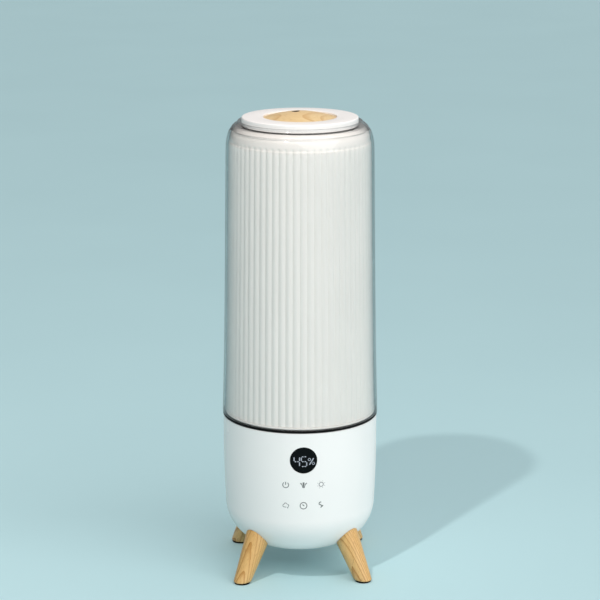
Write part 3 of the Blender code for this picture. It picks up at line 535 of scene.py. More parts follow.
def piecesOnPointsTree():
    # a copy of one piece on each point, its Z along the point's "axis", each turned a different way
    tree, given = startTree("piecesOnPoints", [
        ("Piece", "Object", None), ("Turn seed", "Int", 3), ("Most turn", "Float", 6.28)])
    piece = addNode(tree, "GeometryNodeObjectInfo", {"transform_space": "ORIGINAL"},
                    {"Object": given["Piece"]})
    axis = addNode(tree, "GeometryNodeInputNamedAttribute", {"data_type": "FLOAT_VECTOR"}, {"Name": "axis"})
    aimed = addNode(tree, "FunctionNodeAlignRotationToVector", {"axis": "Z"}, {"Vector": axis.outputs[0]})
    turn = addNode(tree, "FunctionNodeRandomValue", {"data_type": "FLOAT"},
                   {"Seed": given["Turn seed"], 2: 0.0, 3: given["Most turn"]})
    spin = addNode(tree, "FunctionNodeAxisAngleToRotation",
                   inputs={"Axis": (0, 0, 1), "Angle": turn.outputs[1]})
    both = addNode(tree, "FunctionNodeRotateRotation", {"rotation_space": "LOCAL"},
                   {0: aimed.outputs[0], 1: spin.outputs[0]})
    placed = addNode(tree, "GeometryNodeInstanceOnPoints",
                     inputs={"Points": given["Geometry"], "Instance": piece.outputs["Geometry"],
                             "Rotation": both.outputs[0]})
    return endTree(tree, placed.outputs[0], given)


def fluteTree():
    # presses upright flutes into the outside of a turned sleeve, fading out towards its shoulder
    tree, given = startTree("flutes", [
        ("Flutes", "Int", 64), ("Depth", "Float", 0.0011), ("Inner radius", "Float", 0.079),
        ("Fade from", "Float", 0.49), ("Fade to", "Float", 0.50)])
    where = addNode(tree, "GeometryNodeInputPosition").outputs[0]
    x, y, z = addNode(tree, "ShaderNodeSeparateXYZ", inputs={0: where}).outputs[:3]
    half = calc(tree, "MULTIPLY", calc(tree, "ARCTAN2", y, x), 0.5)
    lobe = calc(tree, "ABSOLUTE", calc(tree, "COSINE", calc(tree, "MULTIPLY", half, given["Flutes"])))
    fade = addNode(tree, "ShaderNodeMapRange", inputs={
        "Value": z, "From Min": given["Fade from"], "From Max": given["Fade to"], "To Min": 1.0,
        "To Max": 0.0}).outputs[0]
    flat = vectorMath(tree, "MULTIPLY", where, (1, 1, 0))
    reach = addNode(tree, "ShaderNodeVectorMath", {"operation": "LENGTH"}, {0: flat}).outputs["Value"]
    awayFromZ = vectorMath(tree, "NORMALIZE", flat)
    amount = calc(tree, "SUBTRACT", 1.0, lobe)
    for factor in (fade, calc(tree, "GREATER_THAN", reach, given["Inner radius"]), given["Depth"], -1.0):
        amount = calc(tree, "MULTIPLY", amount, factor)
    offset = addNode(tree, "ShaderNodeVectorMath", {"operation": "SCALE"},
                     {0: awayFromZ, "Scale": amount}).outputs[0]
    pressed = addNode(tree, "GeometryNodeSetPosition",
                      inputs={"Geometry": given["Geometry"], "Offset": offset})
    return endTree(tree, pressed.outputs[0], given)


def copiesRoundZ(tree, given, label):
    # copies of the object given under that label, evenly round Z
    piece = addNode(tree, "GeometryNodeObjectInfo", {"transform_space": "ORIGINAL"},
                    {"Object": given[label]})
    line = addNode(tree, "GeometryNodeMeshLine", {"mode": "OFFSET"},
                   {"Count": given["Count"], "Offset": (0, 0, 0)})
    index = addNode(tree, "GeometryNodeInputIndex").outputs[0]
    turn = calc(tree, "MULTIPLY", calc(tree, "DIVIDE", index, given["Count"]), 2 * pi)
    spin = addNode(tree, "FunctionNodeAxisAngleToRotation", inputs={"Axis": (0, 0, 1), "Angle": turn})
    return addNode(tree, "GeometryNodeInstanceOnPoints", inputs={
        "Points": line.outputs[0], "Instance": piece.outputs["Geometry"],
        "Rotation": spin.outputs[0]}).outputs[0]


def radialCutTree():
    # cuts copies of one shape out of a disc, evenly round its middle
    tree, given = startTree("radialCuts", [("Cutter", "Object", None), ("Count", "Int", 10)])
    copies = copiesRoundZ(tree, given, "Cutter")
    apart = addNode(tree, "GeometryNodeRealizeInstances", inputs={"Geometry": copies})
    cut = addNode(tree, "GeometryNodeMeshBoolean", {"operation": "DIFFERENCE", "solver": "EXACT"},
                  {"Mesh 1": given["Geometry"], "Mesh 2": apart.outputs[0]})
    return endTree(tree, cut.outputs[0], given)


def printTree():
    # flat lines in the XZ plane, each point with a "width", become low beads wrapped onto the casing's wall
    tree, given = startTree("printOnWall", [
        ("Wall radius", "Float", 0.0893), ("Swell", "Float", 0.0021), ("Upright from", "Float", 0.15),
        ("Swell height", "Float", 0.07), ("Proud", "Float", 0.00006), ("Step", "Float", 0.0003)])
    width = addNode(tree, "GeometryNodeInputNamedAttribute", {"data_type": "FLOAT"}, {"Name": "width"})
    curve = addNode(tree, "GeometryNodeMeshToCurve", inputs={"Mesh": given["Geometry"]})
    sized = addNode(tree, "GeometryNodeSetCurveRadius", inputs={
        "Curve": curve.outputs[0], "Radius": width.outputs[0]})
    even = addNode(tree, "GeometryNodeResampleCurve", {"mode": "LENGTH"}, {
        "Curve": sized.outputs[0], "Length": given["Step"]})
    section = addNode(tree, "GeometryNodeCurvePrimitiveCircle", inputs={"Resolution": 8, "Radius": 0.5})
    radius = addNode(tree, "GeometryNodeInputRadius")
    bead = addNode(tree, "GeometryNodeCurveToMesh", inputs={
        "Curve": even.outputs[0], "Profile Curve": section.outputs[0], "Scale": radius.outputs[0],
        "Fill Caps": True})
    where = addNode(tree, "GeometryNodeInputPosition").outputs[0]
    x, y, z = addNode(tree, "ShaderNodeSeparateXYZ", inputs={0: where}).outputs[:3]

    drop = calc(tree, "MAXIMUM", calc(tree, "SUBTRACT", given["Upright from"], z), 0.0)
    share = calc(tree, "DIVIDE", drop, given["Swell height"])
    swell = calc(tree, "MULTIPLY", given["Swell"], calc(tree, "MULTIPLY", share, share))
    # half of the bead stands proud and the rest is sunk in the wall
    side = calc(tree, "MAXIMUM", calc(tree, "MINIMUM", calc(tree, "MULTIPLY", y, -4000.0), 1.0), -1.0)
    wallReach = calc(tree, "SUBTRACT", given["Wall radius"], swell)
    reach = calc(tree, "ADD", wallReach, calc(tree, "MULTIPLY", side, given["Proud"]))
    angle = calc(tree, "DIVIDE", x, given["Wall radius"])
    ahead = calc(tree, "MULTIPLY", calc(tree, "MULTIPLY", reach, calc(tree, "COSINE", angle)), -1.0)
    wrapped = addNode(tree, "ShaderNodeCombineXYZ", inputs={
        0: calc(tree, "MULTIPLY", reach, calc(tree, "SINE", angle)), 1: ahead, 2: z})
    moved = addNode(tree, "GeometryNodeSetPosition",
                    inputs={"Geometry": bead.outputs[0], "Position": wrapped.outputs[0]})
    return endTree(tree, moved.outputs[0], given)


def coilTree():
    # a wire coil with closed ends
    tree, given = startTree("coil", [
        ("Turns", "Float", 5.0), ("Radius", "Float", 0.0052), ("Height", "Float", 0.01),
        ("Wire", "Float", 0.0005)])
    spiral = addNode(tree, "GeometryNodeCurveSpiral",
                     inputs={"Resolution": 28, "Rotations": given["Turns"], "Start Radius": given["Radius"],
                             "End Radius": given["Radius"], "Height": given["Height"]})
    section = addNode(tree, "GeometryNodeCurvePrimitiveCircle",
                      inputs={"Resolution": 10, "Radius": given["Wire"]})
    wire = addNode(tree, "GeometryNodeCurveToMesh",
                   inputs={"Curve": spiral.outputs[0], "Profile Curve": section.outputs[0],
                           "Fill Caps": True})
    return endTree(tree, wire.outputs[0], given)


def bladeTree():
    # fan blades round a hub, joined to the given wheel
    tree, given = startTree("fanBlades", [("Blade", "Object", None), ("Count", "Int", 11)])
    both = addNode(tree, "GeometryNodeJoinGeometry")
    tree.links.new(copiesRoundZ(tree, given, "Blade"), both.inputs[0])
    tree.links.new(given["Geometry"], both.inputs[0])
    return endTree(tree, both.outputs[0], given)


placeTree = piecesOnPointsTree()
sleeveTree = fluteTree()
slotTree = radialCutTree()
wallPrintTree = printTree()
springTree = coilTree()
rotorTree = bladeTree()
print("node trees made")


def pointsObject(name, places):
    # one point for each place, with the place's Z as its "axis"
    mesh = bpy.data.meshes.new(name)
    mesh.from_pydata([tuple(p.translation) for p in places], [], [])
    axes = mesh.attributes.new("axis", "FLOAT_VECTOR", "POINT")
    for item, place in zip(axes.data, places):
        item.vector = place.to_3x3() @ Vector((0, 0, 1))
    return linked(name, mesh)


def turnedPiece(name, outline, steps, material, body, slot, *stoodFor, place=Matrix(), sharp=30):
    obj = makeObject(name, turnedShape(outline, steps, place))
    dress(shadeSmooth(obj, sharp), material)
    return settle(obj, body, slot, *stoodFor)


def layGrain(obj, toLog):
    # each point's place in the log the piece was turned from, whose fibres run along Z
    grain = obj.data.attributes.new("grain", "FLOAT_VECTOR", "POINT")
    for item, vertex in zip(grain.data, obj.data.vertices):
        item.vector = toLog @ vertex.co
    return obj


# Where the casing's wall is

wall = {
    "topR": casingHigh.x, "waistR": casingHigh.x - 0.0021, "uprightFrom": 0.150, "corner": 0.049,
    "low": casingLow.z, "thick": 0.0026, "top": casingHigh.z}
wall["bowlZ"] = wall["low"] + wall["corner"]
gap = 0.0003


def wallRadius(z):
    if z >= wall["uprightFrom"]:
        return wall["topR"]
    if z >= wall["bowlZ"]:
        share = (wall["uprightFrom"] - z) / (wall["uprightFrom"] - wall["bowlZ"])
        return wall["topR"] - (wall["topR"] - wall["waistR"]) * share ** 2
    return wall["waistR"] - wall["corner"] + sqrt(wall["corner"] ** 2 - (wall["bowlZ"] - z) ** 2)


def wallPoint(x, z, proud=0.0):
    # x is measured along the wall from its front
    angle = x / wall["topR"]
    reach = wallRadius(z) + proud
    return Vector((reach * sin(angle), -reach * cos(angle), z))


def bowlLine(offset, low, steps=26, wallSteps=12):
    # the bowl's corner and the wall, moved outwards by offset, from low up to where the wall is upright
    line = []
    for i in range(steps + 1):
        a = radians(-90 + 88 * i / steps)
        r = wall["waistR"] - wall["corner"] + (wall["corner"] + offset) * cos(a)
        z = wall["bowlZ"] + (wall["corner"] + offset) * sin(a)
        if z > low:
            line.append((r, z))
    for i in range(1, wallSteps + 1):
        z = wall["bowlZ"] + (wall["uprightFrom"] - wall["bowlZ"]) * i / wallSteps
        line.append((wallRadius(z) + offset, z))
    return line


def baseForm(offset):
    low = wall["low"] - offset
    line = [(0.0, low)] + bowlLine(offset, low - 0.001)
    return turnedShape(line + [(wall["topR"] + offset, wall["top"]), (0.0, wall["top"])], 128)


def boxShape(low, high, place=Matrix()):
    bm = bmesh.new()
    bmesh.ops.create_cube(bm, size=1.0)
    bmesh.ops.scale(bm, vec=[b - a for a, b in zip(low, high)], verts=bm.verts)
    bmesh.ops.translate(bm, vec=[(a + b) / 2 for a, b in zip(low, high)], verts=bm.verts)
    bmesh.ops.transform(bm, matrix=place, verts=bm.verts)
    return bm


def wallNormals(obj):
    # faces of the outer wall shade as the smooth wall they lie on, right up to the edges of the holes
    mesh = obj.data
    normals = [Vector(n.vector) for n in mesh.corner_normals]
    for face in mesh.polygons:
        for corner in face.loop_indices:
            p = mesh.vertices[mesh.loops[corner].vertex_index].co
            reach = Vector((p.x, p.y)).length
            if p.z < wall["low"] + 0.0002 or abs(reach - wallRadius(p.z)) > 0.00006:
                continue
            step = 0.0002
            slope = (wallRadius(p.z + step) - wallRadius(max(p.z - step, wall["low"]))) / (2 * step)
            true = Vector((p.x / reach, p.y / reach, -slope)).normalized()
            if true.dot(face.normal) > 0.9:
                normals[corner] = true
    mesh.normals_split_custom_set([tuple(n) for n in normals])
    return obj


# Legs and their places

leg = {"reach": 0.1003, "splay": radians(29), "length": 0.0548, "footR": 0.0095, "topR": 0.0140,
       "footEdge": 0.0016, "bossTop": 0.0658, "padTop": 0.0016}
# each leg's angle about Z and the turn of its grain
legs = {"front_left": (225, 0.4), "front_right": (315, 2.2), "rear_right": (45, 3.9),
        "rear_left": (135, 5.3)}
legAngles = [angle for angle, turn in legs.values()]


def alongLeg(angle):
    lean = Matrix.Rotation(-leg["splay"], 4, "Y")
    return aboutZ(radians(angle)) @ at(leg["reach"], 0.0) @ lean


def shapeOf(obj):
    bm = bmesh.new()
    bm.from_mesh(obj.data)
    bpy.data.objects.remove(obj, do_unlink=True)
    return bm


# Casing: one gloss moulding, upright wall on a bowl, open at the top

casing = {
    "coverSeatR": 0.0365, "ledgeR": 0.0300, "floorZ": 0.0364, "seatZ": 0.0337, "bossR": 0.0065, "steps": 192,
    "displayZ": 0.1534, "displayR": 0.0153, "inletZ": 0.083, "inletR": 0.0052, "trayHalf": 0.0205,
    "trayZ": (0.1100, 0.1210), "slotCorner": 0.0012, "screwAngles": (90, 210, 330), "screwR": 0.0755,
    "coverScrewR": 0.0331, "deckBossZ": 0.183, "boardY": -0.0790, "boardScrewZ": (0.1335, 0.1115)}
coverPlaces = [aboutZ(2 * pi * i / 3) @ at(casing["coverScrewR"], 0.0) for i in range(3)]
deckPlaces = [aboutZ(radians(a)) @ at(casing["screwR"], 0.0) for a in casing["screwAngles"]]


def makeCasing():
    floorR = wall["waistR"] - wall["corner"] + sqrt(
        (wall["corner"] - wall["thick"]) ** 2 - (wall["bowlZ"] - casing["floorZ"]) ** 2)
    outer = [(casing["coverSeatR"], wall["low"])]
    outer += [p for p in bowlLine(0.0, 0.0) if p[0] > casing["coverSeatR"] + 0.001]
    rim = rounded([(wall["topR"], wall["top"] - 0.010), (wall["topR"], wall["top"], 0.0009),
                   (wall["topR"] - wall["thick"], wall["top"], 0.0005),
                   (wall["topR"] - wall["thick"], wall["top"] - 0.010)])
    inner = [(floorR, casing["floorZ"])]
    inner += [p for p in bowlLine(-wall["thick"], 0.0) if p[1] > casing["floorZ"] + 0.0005]
    seat = [(casing["ledgeR"], casing["floorZ"]), (casing["ledgeR"], casing["seatZ"]),
            (casing["coverSeatR"], casing["seatZ"])]
    obj = makeObject("casing", turnedShape(outer + rim + inner[::-1] + seat, casing["steps"]))
    bosses = []
    for angle in legAngles:
        bosses.append(rodShape(casing["bossR"], leg["length"] - 0.010, leg["bossTop"], 32, alongLeg(angle)))
    bosses = combine(makeObject("bosses", gathered(bosses)), [("INTERSECT", baseForm(-0.0013))])
    brackets = [boxShape((0.0705, -0.005, 0.160), (0.088, 0.005, 0.1685), aboutZ(radians(a)))
                for a in casing["screwAngles"]]
    posts = [rodShape(0.0026, -0.0085, 0.0, 24, alongY(0.0, casing["boardY"] - gap, z))
             for z in casing["boardScrewZ"]]
    holes = [rodShape(casing["displayR"] + gap, -0.012, 0.012, 96, alongY(0.0, -0.0885, casing["displayZ"])),
             rodShape(casing["inletR"] + gap, -0.010, 0.010, 48,
                      alongY(0.0, wall["waistR"], casing["inletZ"])),
             slabShape(casing["trayHalf"] + gap, casing["trayZ"][0] - gap, casing["trayZ"][1] + gap,
                       0.070, 0.095, casing["slotCorner"])]
    for angle in legAngles:
        holes.append(rodShape(0.0021, 0.040, leg["bossTop"] + 0.002, 24, alongLeg(angle)))
    holes += [rodShape(0.0017, 0.158, 0.170, 24, place) for place in deckPlaces]
    holes += [rodShape(0.0013, 0.033, 0.0362, 24, place) for place in coverPlaces]
    for z in casing["boardScrewZ"]:
        holes.append(rodShape(0.0013, -0.006, 0.002, 24, alongY(0.0, -0.0800, z)))
    combine(obj, [("UNION", shapeOf(bosses)), ("UNION", gathered(brackets)), ("UNION", gathered(posts)),
                  ("DIFFERENCE", gathered(holes))])
    wallNormals(dress(shadeSmooth(obj), glossAbs))
    return settle(obj, "base", "gloss_white", "base_shell")


makeCasing()
print("casing made")


# Bottom cover with radial air slots, and everything it hides

cover = {"radius": 0.0362, "thick": 0.0020, "slots": 10, "slotFrom": 0.009, "slotTo": 0.0235,
         "slotHalf": 0.0012, "edge": 0.0004, "screwHole": 0.0016}


def makeCover():
    low, top = wall["low"], wall["low"] + cover["thick"]
    disc = rounded([(0.0, low), (cover["radius"], low, cover["edge"]), (cover["radius"], top, cover["edge"]),
                    (0.0, top)], 3)
    obj = makeObject("ventCover", turnedShape(disc, 128))
    slot = slabShape(cover["slotHalf"], low - 0.002, top + 0.002, cover["slotFrom"], cover["slotTo"])
    bmesh.ops.transform(slot, matrix=aboutZ(pi / cover["slots"]), verts=slot.verts)
    cutter = makeObject("slotCutter", slot)
    obj = runTree(obj, slotTree, {"Cutter": cutter, "Count": cover["slots"], "Finish": glossAbs})
    bpy.data.objects.remove(cutter, do_unlink=True)
    holes = [rodShape(cover["screwHole"], low - 0.002, top + 0.002, 24, place) for place in coverPlaces]
    combine(obj, [("DIFFERENCE", gathered(holes))])
    dress(shadeSmooth(obj), glossAbs)
    return settle(obj, "base", "gloss_white", "bottom_cover")


makeCover()


def screwShape(look):
    # a pan-head screw: +Z out of its head, the head's underside at 0, a cross recess and a ridged shank
    headR, high, shankR, length = look["head"][0], look["head"][1], look["shank"], look["length"]
    outline = rounded([(0.0, high), (headR, high, min(headR, high) * 0.6), (headR, 0.0), (shankR, 0.0)], 6)
    pitch = look["pitch"]
    ridges = int((length - 2.2 * shankR) / pitch)
    for i in range(ridges):
        z = -0.3 * shankR - pitch * i
        outline += [(shankR * 0.82, z - pitch * 0.25), (shankR, z - pitch * 0.6),
                    (shankR * 0.82, z - pitch * 0.95)]
    outline += [(shankR * 0.75, shankR * 1.2 - length), (0.0, -length)]
    obj = makeObject("screw", turnedShape(outline, 28))
    arm, half = headR * 0.52, headR * 0.11
    recess = [boxShape((-arm, -half, high * 0.35), (arm, half, high + 0.001)),
              boxShape((-half, -arm, high * 0.35), (half, arm, high + 0.001))]
    cross = combine(makeObject("cross", recess[0]), [("UNION", recess[1])])
    return combine(obj, [("DIFFERENCE", shapeOf(cross))])


def placeScrews(name, look, places, body, nodesFor):
    screw = shadeSmooth(screwShape(look), 40)
    points = pointsObject(name, places)
    runTree(points, placeTree, {"Piece": screw, "Turn seed": look["seed"], "Finish": zincSteel})
    bpy.data.objects.remove(screw, do_unlink=True)
    return settle(points, body, "zinc_steel", *nodesFor)


down = Matrix.Rotation(pi, 4, "X")
boardThick = 0.0016
boardBack = casing["boardY"] + boardThick
mainFront = 0.0520 - gap - boardThick
placeScrews(
    "coverScrews", {"head": (0.0026, 0.0015), "shank": 0.0010, "length": 0.0046, "pitch": 0.0007, "seed": 5},
    [place @ at(0.0, 0.0, wall["low"] - gap) @ down for place in coverPlaces], "base",
    ["cover_screw_1", "cover_screw_2", "cover_screw_3"])
placeScrews(
    "legScrews", {"head": (0.0045, 0.0030), "shank": 0.0018, "length": 0.0320, "pitch": 0.0012, "seed": 8},
    [alongLeg(a) @ at(0.0, 0.0, leg["bossTop"] + gap) for a in legAngles], "base",
    ["leg_screw_" + side for side in legs])
placeScrews(
    "deckScrews", {"head": (0.0030, 0.0018), "shank": 0.0014, "length": 0.0200, "pitch": 0.0010, "seed": 2},
    [place @ at(0.0, 0.0, casing["deckBossZ"] + gap) for place in deckPlaces], "base",
    ["deck_screw_1", "deck_screw_2", "deck_screw_3"])
placeScrews(
    "boardScrews", {"head": (0.0024, 0.0014), "shank": 0.0010, "length": 0.0050, "pitch": 0.0007, "seed": 9},
    [alongY(0.0, boardBack + gap, z) for z in casing["boardScrewZ"]]
    + [alongY(x, mainFront - gap, 0.1155) @ down for x in (-0.008, 0.008)]
    + [at(0.0, y, 0.1440 - gap) @ down for y in (-0.0235, 0.0235)], "base",
    ["control_screw_1", "control_screw_2", "board_screw_1", "board_screw_2", "transducer_screw_1",
     "transducer_screw_2"])
print("cover and screws made")


# Four turned beech legs, cut to the bowl, with rubber feet

def makeLeg(name, angle, turn):
    frameOfLeg = alongLeg(angle)
    taper = [(0.0, -0.012)]
    for i in range(13):
        share = i / 12
        r = leg["footR"] - 0.0010 + (leg["topR"] - leg["footR"] + 0.0010) * share
        taper.append((r, -0.012 + (leg["length"] + 0.012) * share))
    taper += [(leg["topR"], 0.072), (0.0, 0.072)]
    obj = makeObject(name, turnedShape(taper, 72, frameOfLeg))
    bore = [(0.0, 0.031), (0.0021, 0.033), (0.0021, 0.075), (0.0, 0.075)]
    footZ = leg["padTop"] + gap
    floorCut = boxShape((-0.2, -0.2, -0.05), (0.2, 0.2, footZ))
    combine(obj, [("DIFFERENCE", baseForm(gap)), ("DIFFERENCE", floorCut),
                  ("DIFFERENCE", turnedShape(bore, 24, frameOfLeg))])
    shape = shapeOf(obj)
    edges = [e for e in shape.edges if all(abs(v.co.z - footZ) < 1e-5 for v in e.verts) and e.is_manifold
             and e.calc_face_angle(0.0) > 0.5]
    bmesh.ops.bevel(shape, geom=edges, offset=leg["footEdge"], segments=4, profile=0.5, affect="EDGES")
    obj = makeObject(name, shape)
    layGrain(obj, at(0.0, 0.0, turn) @ aboutZ(turn) @ frameOfLeg.inverted())
    return dress(shadeSmooth(obj), legBeech)


for side, (angle, turn) in legs.items():
    name = "leg" + side.title().replace("_", "")
    settle(makeLeg(name, angle, turn), "base", "beech", "leg_" + side)

foot = {"radius": 0.0090, "thick": 0.0016, "inset": 0.0011, "groove": 0.0005}


def makeFeet():
    r, high = foot["radius"], foot["thick"]
    outline = rounded([(0.0, 0.0), (r * 0.35, 0.0), (r * 0.42, foot["groove"]), (r * 0.52, foot["groove"]),
                       (r * 0.59, 0.0), (r * 0.72, 0.0), (r * 0.78, foot["groove"]),
                       (r * 0.82, foot["groove"]), (r * 0.86, 0.0), (r, 0.0, 0.0006), (r, high, 0.0003),
                       (0.0, high)], 4)
    pad = shadeSmooth(makeObject("pad", turnedShape(outline, 64)))
    places = [aboutZ(radians(a)) @ at(leg["reach"] - foot["inset"], 0.0) for a in legAngles]
    feet = pointsObject("rubberFeet", places)
    runTree(feet, placeTree, {"Piece": pad, "Turn seed": 1, "Finish": blackRubber})
    bpy.data.objects.remove(pad, do_unlink=True)
    return settle(feet, "base", "soft_rubber", *["foot_pad_" + side for side in legs])


makeFeet()
print("legs and feet made")


# Display: a round smoked lens flush with the wall, and lit figures behind its face

def wallDisc(name, z, radius, thick, edge):
    # a disc bent to the wall, with its front edge rolled over
    profile = [(radius * i / 12, 0.0) for i in range(1, 12)]
    profile += [(radius - edge + edge * sin(radians(15 * i)),
                 edge * (cos(radians(15 * i)) - 1)) for i in range(7)]
    steps = 96
    bm = bmesh.new()
    middle = bm.verts.new(wallPoint(0.0, z))
    back = bm.verts.new(wallPoint(0.0, z, -thick))
    rings = []
    for r, sink in profile + [(radius, -thick)]:
        ring = []
        for i in range(steps):
            a = 2 * pi * i / steps
            x, up = r * cos(a), z + r * sin(a)
            reach = wallRadius(up) + sink
            ring.append(bm.verts.new((x, -sqrt(reach ** 2 - x ** 2), up)))
        rings.append(ring)
    for i in range(steps):
        j = (i + 1) % steps
        bm.faces.new((middle, rings[0][i], rings[0][j]))
        bm.faces.new((back, rings[-1][j], rings[-1][i]))
        for ring, following in zip(rings, rings[1:]):
            bm.faces.new((ring[i], following[i], following[j], ring[j]))
    return makeObject(name, outward(bm))


lens = wallDisc("displayLens", casing["displayZ"], casing["displayR"], 0.0023, 0.0003)
settle(dress(shadeSmooth(lens), smokedAcrylic), "base", "smoked_acrylic", "display_window")

figure = {"z": 0.1521, "high": 11.5, "wide": 6.2, "stroke": 1.15, "gap": 0.5, "split": 0.6, "proud": 0.00004,
          "places": (("4", -7.7), ("5", 0.5))}
litBars = {"4": "bcfg", "5": "afgcd"}


def bar(ax, az, bx, bz, width, cut):
    # a bar with pointed ends, in mm
    along = (Vector((bx, bz)) - Vector((ax, az))).normalized()
    across = Vector((-along.y, along.x)) * width / 2
    a = Vector((ax, az)) + along * cut
    b = Vector((bx, bz)) - along * cut
    tip = along * width / 2
    return [a, a + tip - across, b - tip - across, b, b - tip + across, a + tip + across]


def digitBars(digit, x):
    w, h = figure["wide"] / 2, figure["high"] / 2
    ends = {"a": (-w, h, w, h), "g": (-w, 0, w, 0), "d": (-w, -h, w, -h), "b": (w, h, w, 0),
            "c": (w, 0, w, -h), "e": (-w, 0, -w, -h), "f": (-w, h, -w, 0)}
    bars = []
    for name in litBars[digit]:
        ax, az, bx, bz = ends[name]
        if name in "agd":
            half = figure["split"] / 2 - figure["gap"]
            bars.append(bar(x + ax, az, x - half, bz, figure["stroke"], figure["gap"]))
            bars.append(bar(x + half, az, x + bx, bz, figure["stroke"], figure["gap"]))
        else:
            bars.append(bar(x + ax, az, x + bx, bz, figure["stroke"], figure["gap"]))
    return bars


def wallPlates(name, plates, middleZ, proud, depth):
    # flat outlines in mm, raised on the wall
    shapes = []
    for plate in plates:
        bm = bmesh.new()
        front = [bm.verts.new(wallPoint(p.x * mm, middleZ + p.y * mm, proud)) for p in plate]
        back = [bm.verts.new(wallPoint(p.x * mm, middleZ + p.y * mm, -depth)) for p in plate]
        bm.faces.new(front)
        bm.faces.new(back[::-1])
        for i in range(len(plate)):
            j = (i + 1) % len(plate)
            bm.faces.new((front[j], front[i], back[i], back[j]))
        shapes.append(outward(bm))
    return makeObject(name, gathered(shapes))


def makeFigures():
    plates = []
    for digit, x in figure["places"]:
        plates += digitBars(digit, x)
    x = 8.8  # the percent sign
    plates.append(bar(x - 2.2, -4.0, x + 2.8, 4.0, figure["stroke"], 0.0))
    for dx, dz in ((-2.2, 2.4), (2.4, -2.4)):
        centre = Vector((x + dx, dz))
        corners = [centre + Vector((1.75 * cos(a), 1.75 * sin(a))) for a in (0, pi / 2, pi, 3 * pi / 2)]
        for i in range(4):
            first, last = corners[i - 1], corners[i]
            plates.append(bar(first.x, first.y, last.x, last.y, 0.6, 0.06))
    obj = wallPlates("displayFigures", plates, figure["z"], figure["proud"], 0.0002)
    dress(obj, litSegment)
    return settle(obj, "base", "smoked_acrylic")


makeFigures()


# Touch symbols, printed on the wall under the display (all in mm, from each key's middle)

def arc(cx, cz, radius, first, last, width, steps=24):
    points = [(cx + radius * cos(radians(first + (last - first) * i / steps)),
               cz + radius * sin(radians(first + (last - first) * i / steps))) for i in range(steps + 1)]
    return points, [width] * (steps + 1)


def stroke(points, *widths):
    return points, list(widths) if len(widths) == len(points) else [widths[0]] * len(points)


touchKeys = {
    "power": [arc(0, 0, 3.4, 128, 412, 1.0), stroke([(0, 0.3), (0, 3.6)], 1.0)],
    "spray": [stroke([(0, -3.4), (0, 0), (0, 3.4)], 0.8, 1.5, 2.3),
              stroke([(-0.9, -3.2), (-1.3, -0.8), (-2.2, 1.2), (-3.6, 2.6)], 0.7, 0.9, 1.1, 1.4),
              stroke([(0.9, -3.2), (1.3, -0.8), (2.2, 1.2), (3.6, 2.6)], 0.7, 0.9, 1.1, 1.4)],
    "cloud": [arc(-1.9, -0.5, 1.6, 90, 270, 0.75), arc(-0.3, 0.9, 1.9, 20, 165, 0.75),
              arc(1.9, -0.1, 1.4, -60, 95, 0.75), stroke([(-1.9, -2.1), (0.6, -2.1)], 0.75),
              stroke([(2.2, -2.0), (2.2, -3.4)], 1.0, 1.5)],
    "timer": [arc(0, 0, 3.9, 0, 360, 1.0, 40), stroke([(-1.2, 1.5), (0.9, -0.4)], 1.1)],
    "night": [arc(-0.6, 1.7, 1.7, 60, 250, 1.1), stroke([(-1.2, 0.7), (2.2, -1.8)], 1.2),
              stroke([(2.6, -0.6), (-0.4, -3.2)], 1.2)],
}
sunKey = [arc(0, 0, 2.5, 0, 360, 1.0, 32)]
for i in range(8):
    a = pi / 4 * i + pi / 8
    sunKey.append(stroke([(3.9 * cos(a), 3.9 * sin(a)), (4.8 * cos(a), 4.8 * sin(a))], 0.6))
keyPlaces = {"power": (-1, 0), "spray": (0, 0), "cloud": (-1, 1), "timer": (0, 1), "night": (1, 1)}
keyRows = (0.1239, 0.0991)
keyPitch = 0.0205


def printOnWall(name, groups, ink):
    # groups are (x, z, lines) with the lines in mm
    points, edges, widths = [], [], []
    for x, z, lines in groups:
        for line, sizes in lines:
            first = len(points)
            points += [(x + px * mm, 0.0, z + pz * mm) for px, pz in line]
            edges += [(first + i, first + i + 1) for i in range(len(line) - 1)]
            widths += [w * mm for w in sizes]
    mesh = bpy.data.meshes.new(name)
    mesh.from_pydata(points, edges, [])
    attribute = mesh.attributes.new("width", "FLOAT", "POINT")
    attribute.data.foreach_set("value", widths)
    obj = runTree(linked(name, mesh), wallPrintTree, {
        "Wall radius": wall["topR"], "Swell": wall["topR"] - wall["waistR"],
        "Upright from": wall["uprightFrom"], "Swell height": wall["uprightFrom"] - wall["bowlZ"],
        "Finish": ink})
    return settle(obj, "base", "smoked_acrylic")


printOnWall("touchSymbols", [(column * keyPitch, keyRows[row], touchKeys[name])
                             for name, (column, row) in keyPlaces.items()], greyInk)
printOnWall("lampSymbol", [(keyPitch, keyRows[0], sunKey)], paleInk)
print("display and symbols made")


# Rear: scent tray and power inlet

tray = {"half": 0.0205, "z": (0.1100, 0.1210), "y": 0.0565, "wall": 0.0018, "backY": 0.0825, "gripR": 0.0060}


def makeTray():
    low, high = tray["z"]
    obj = makeObject("scentTray", slabShape(tray["half"], low, high, tray["y"], 0.095, 0.0010))
    hollow = slabShape(tray["half"] - tray["wall"], low + tray["wall"], high + 0.004,
                       tray["y"] + tray["wall"], tray["backY"], 0.0015)
    grip = rounded([(0.0, -0.0030), (tray["gripR"], -0.0030), (tray["gripR"], 0.0035),
                    (tray["gripR"] + 0.004, 0.0075), (0.0, 0.0075)], 4)
    combine(obj, [("INTERSECT", baseForm(0.0)), ("DIFFERENCE", hollow),
                  ("DIFFERENCE", turnedShape(grip, 64, alongY(0.0, 0.0875, high + 0.0015)))])
    wallNormals(dress(shadeSmooth(obj), glossAbs))
    return settle(obj, "tray", "gloss_white", "oil_tray")


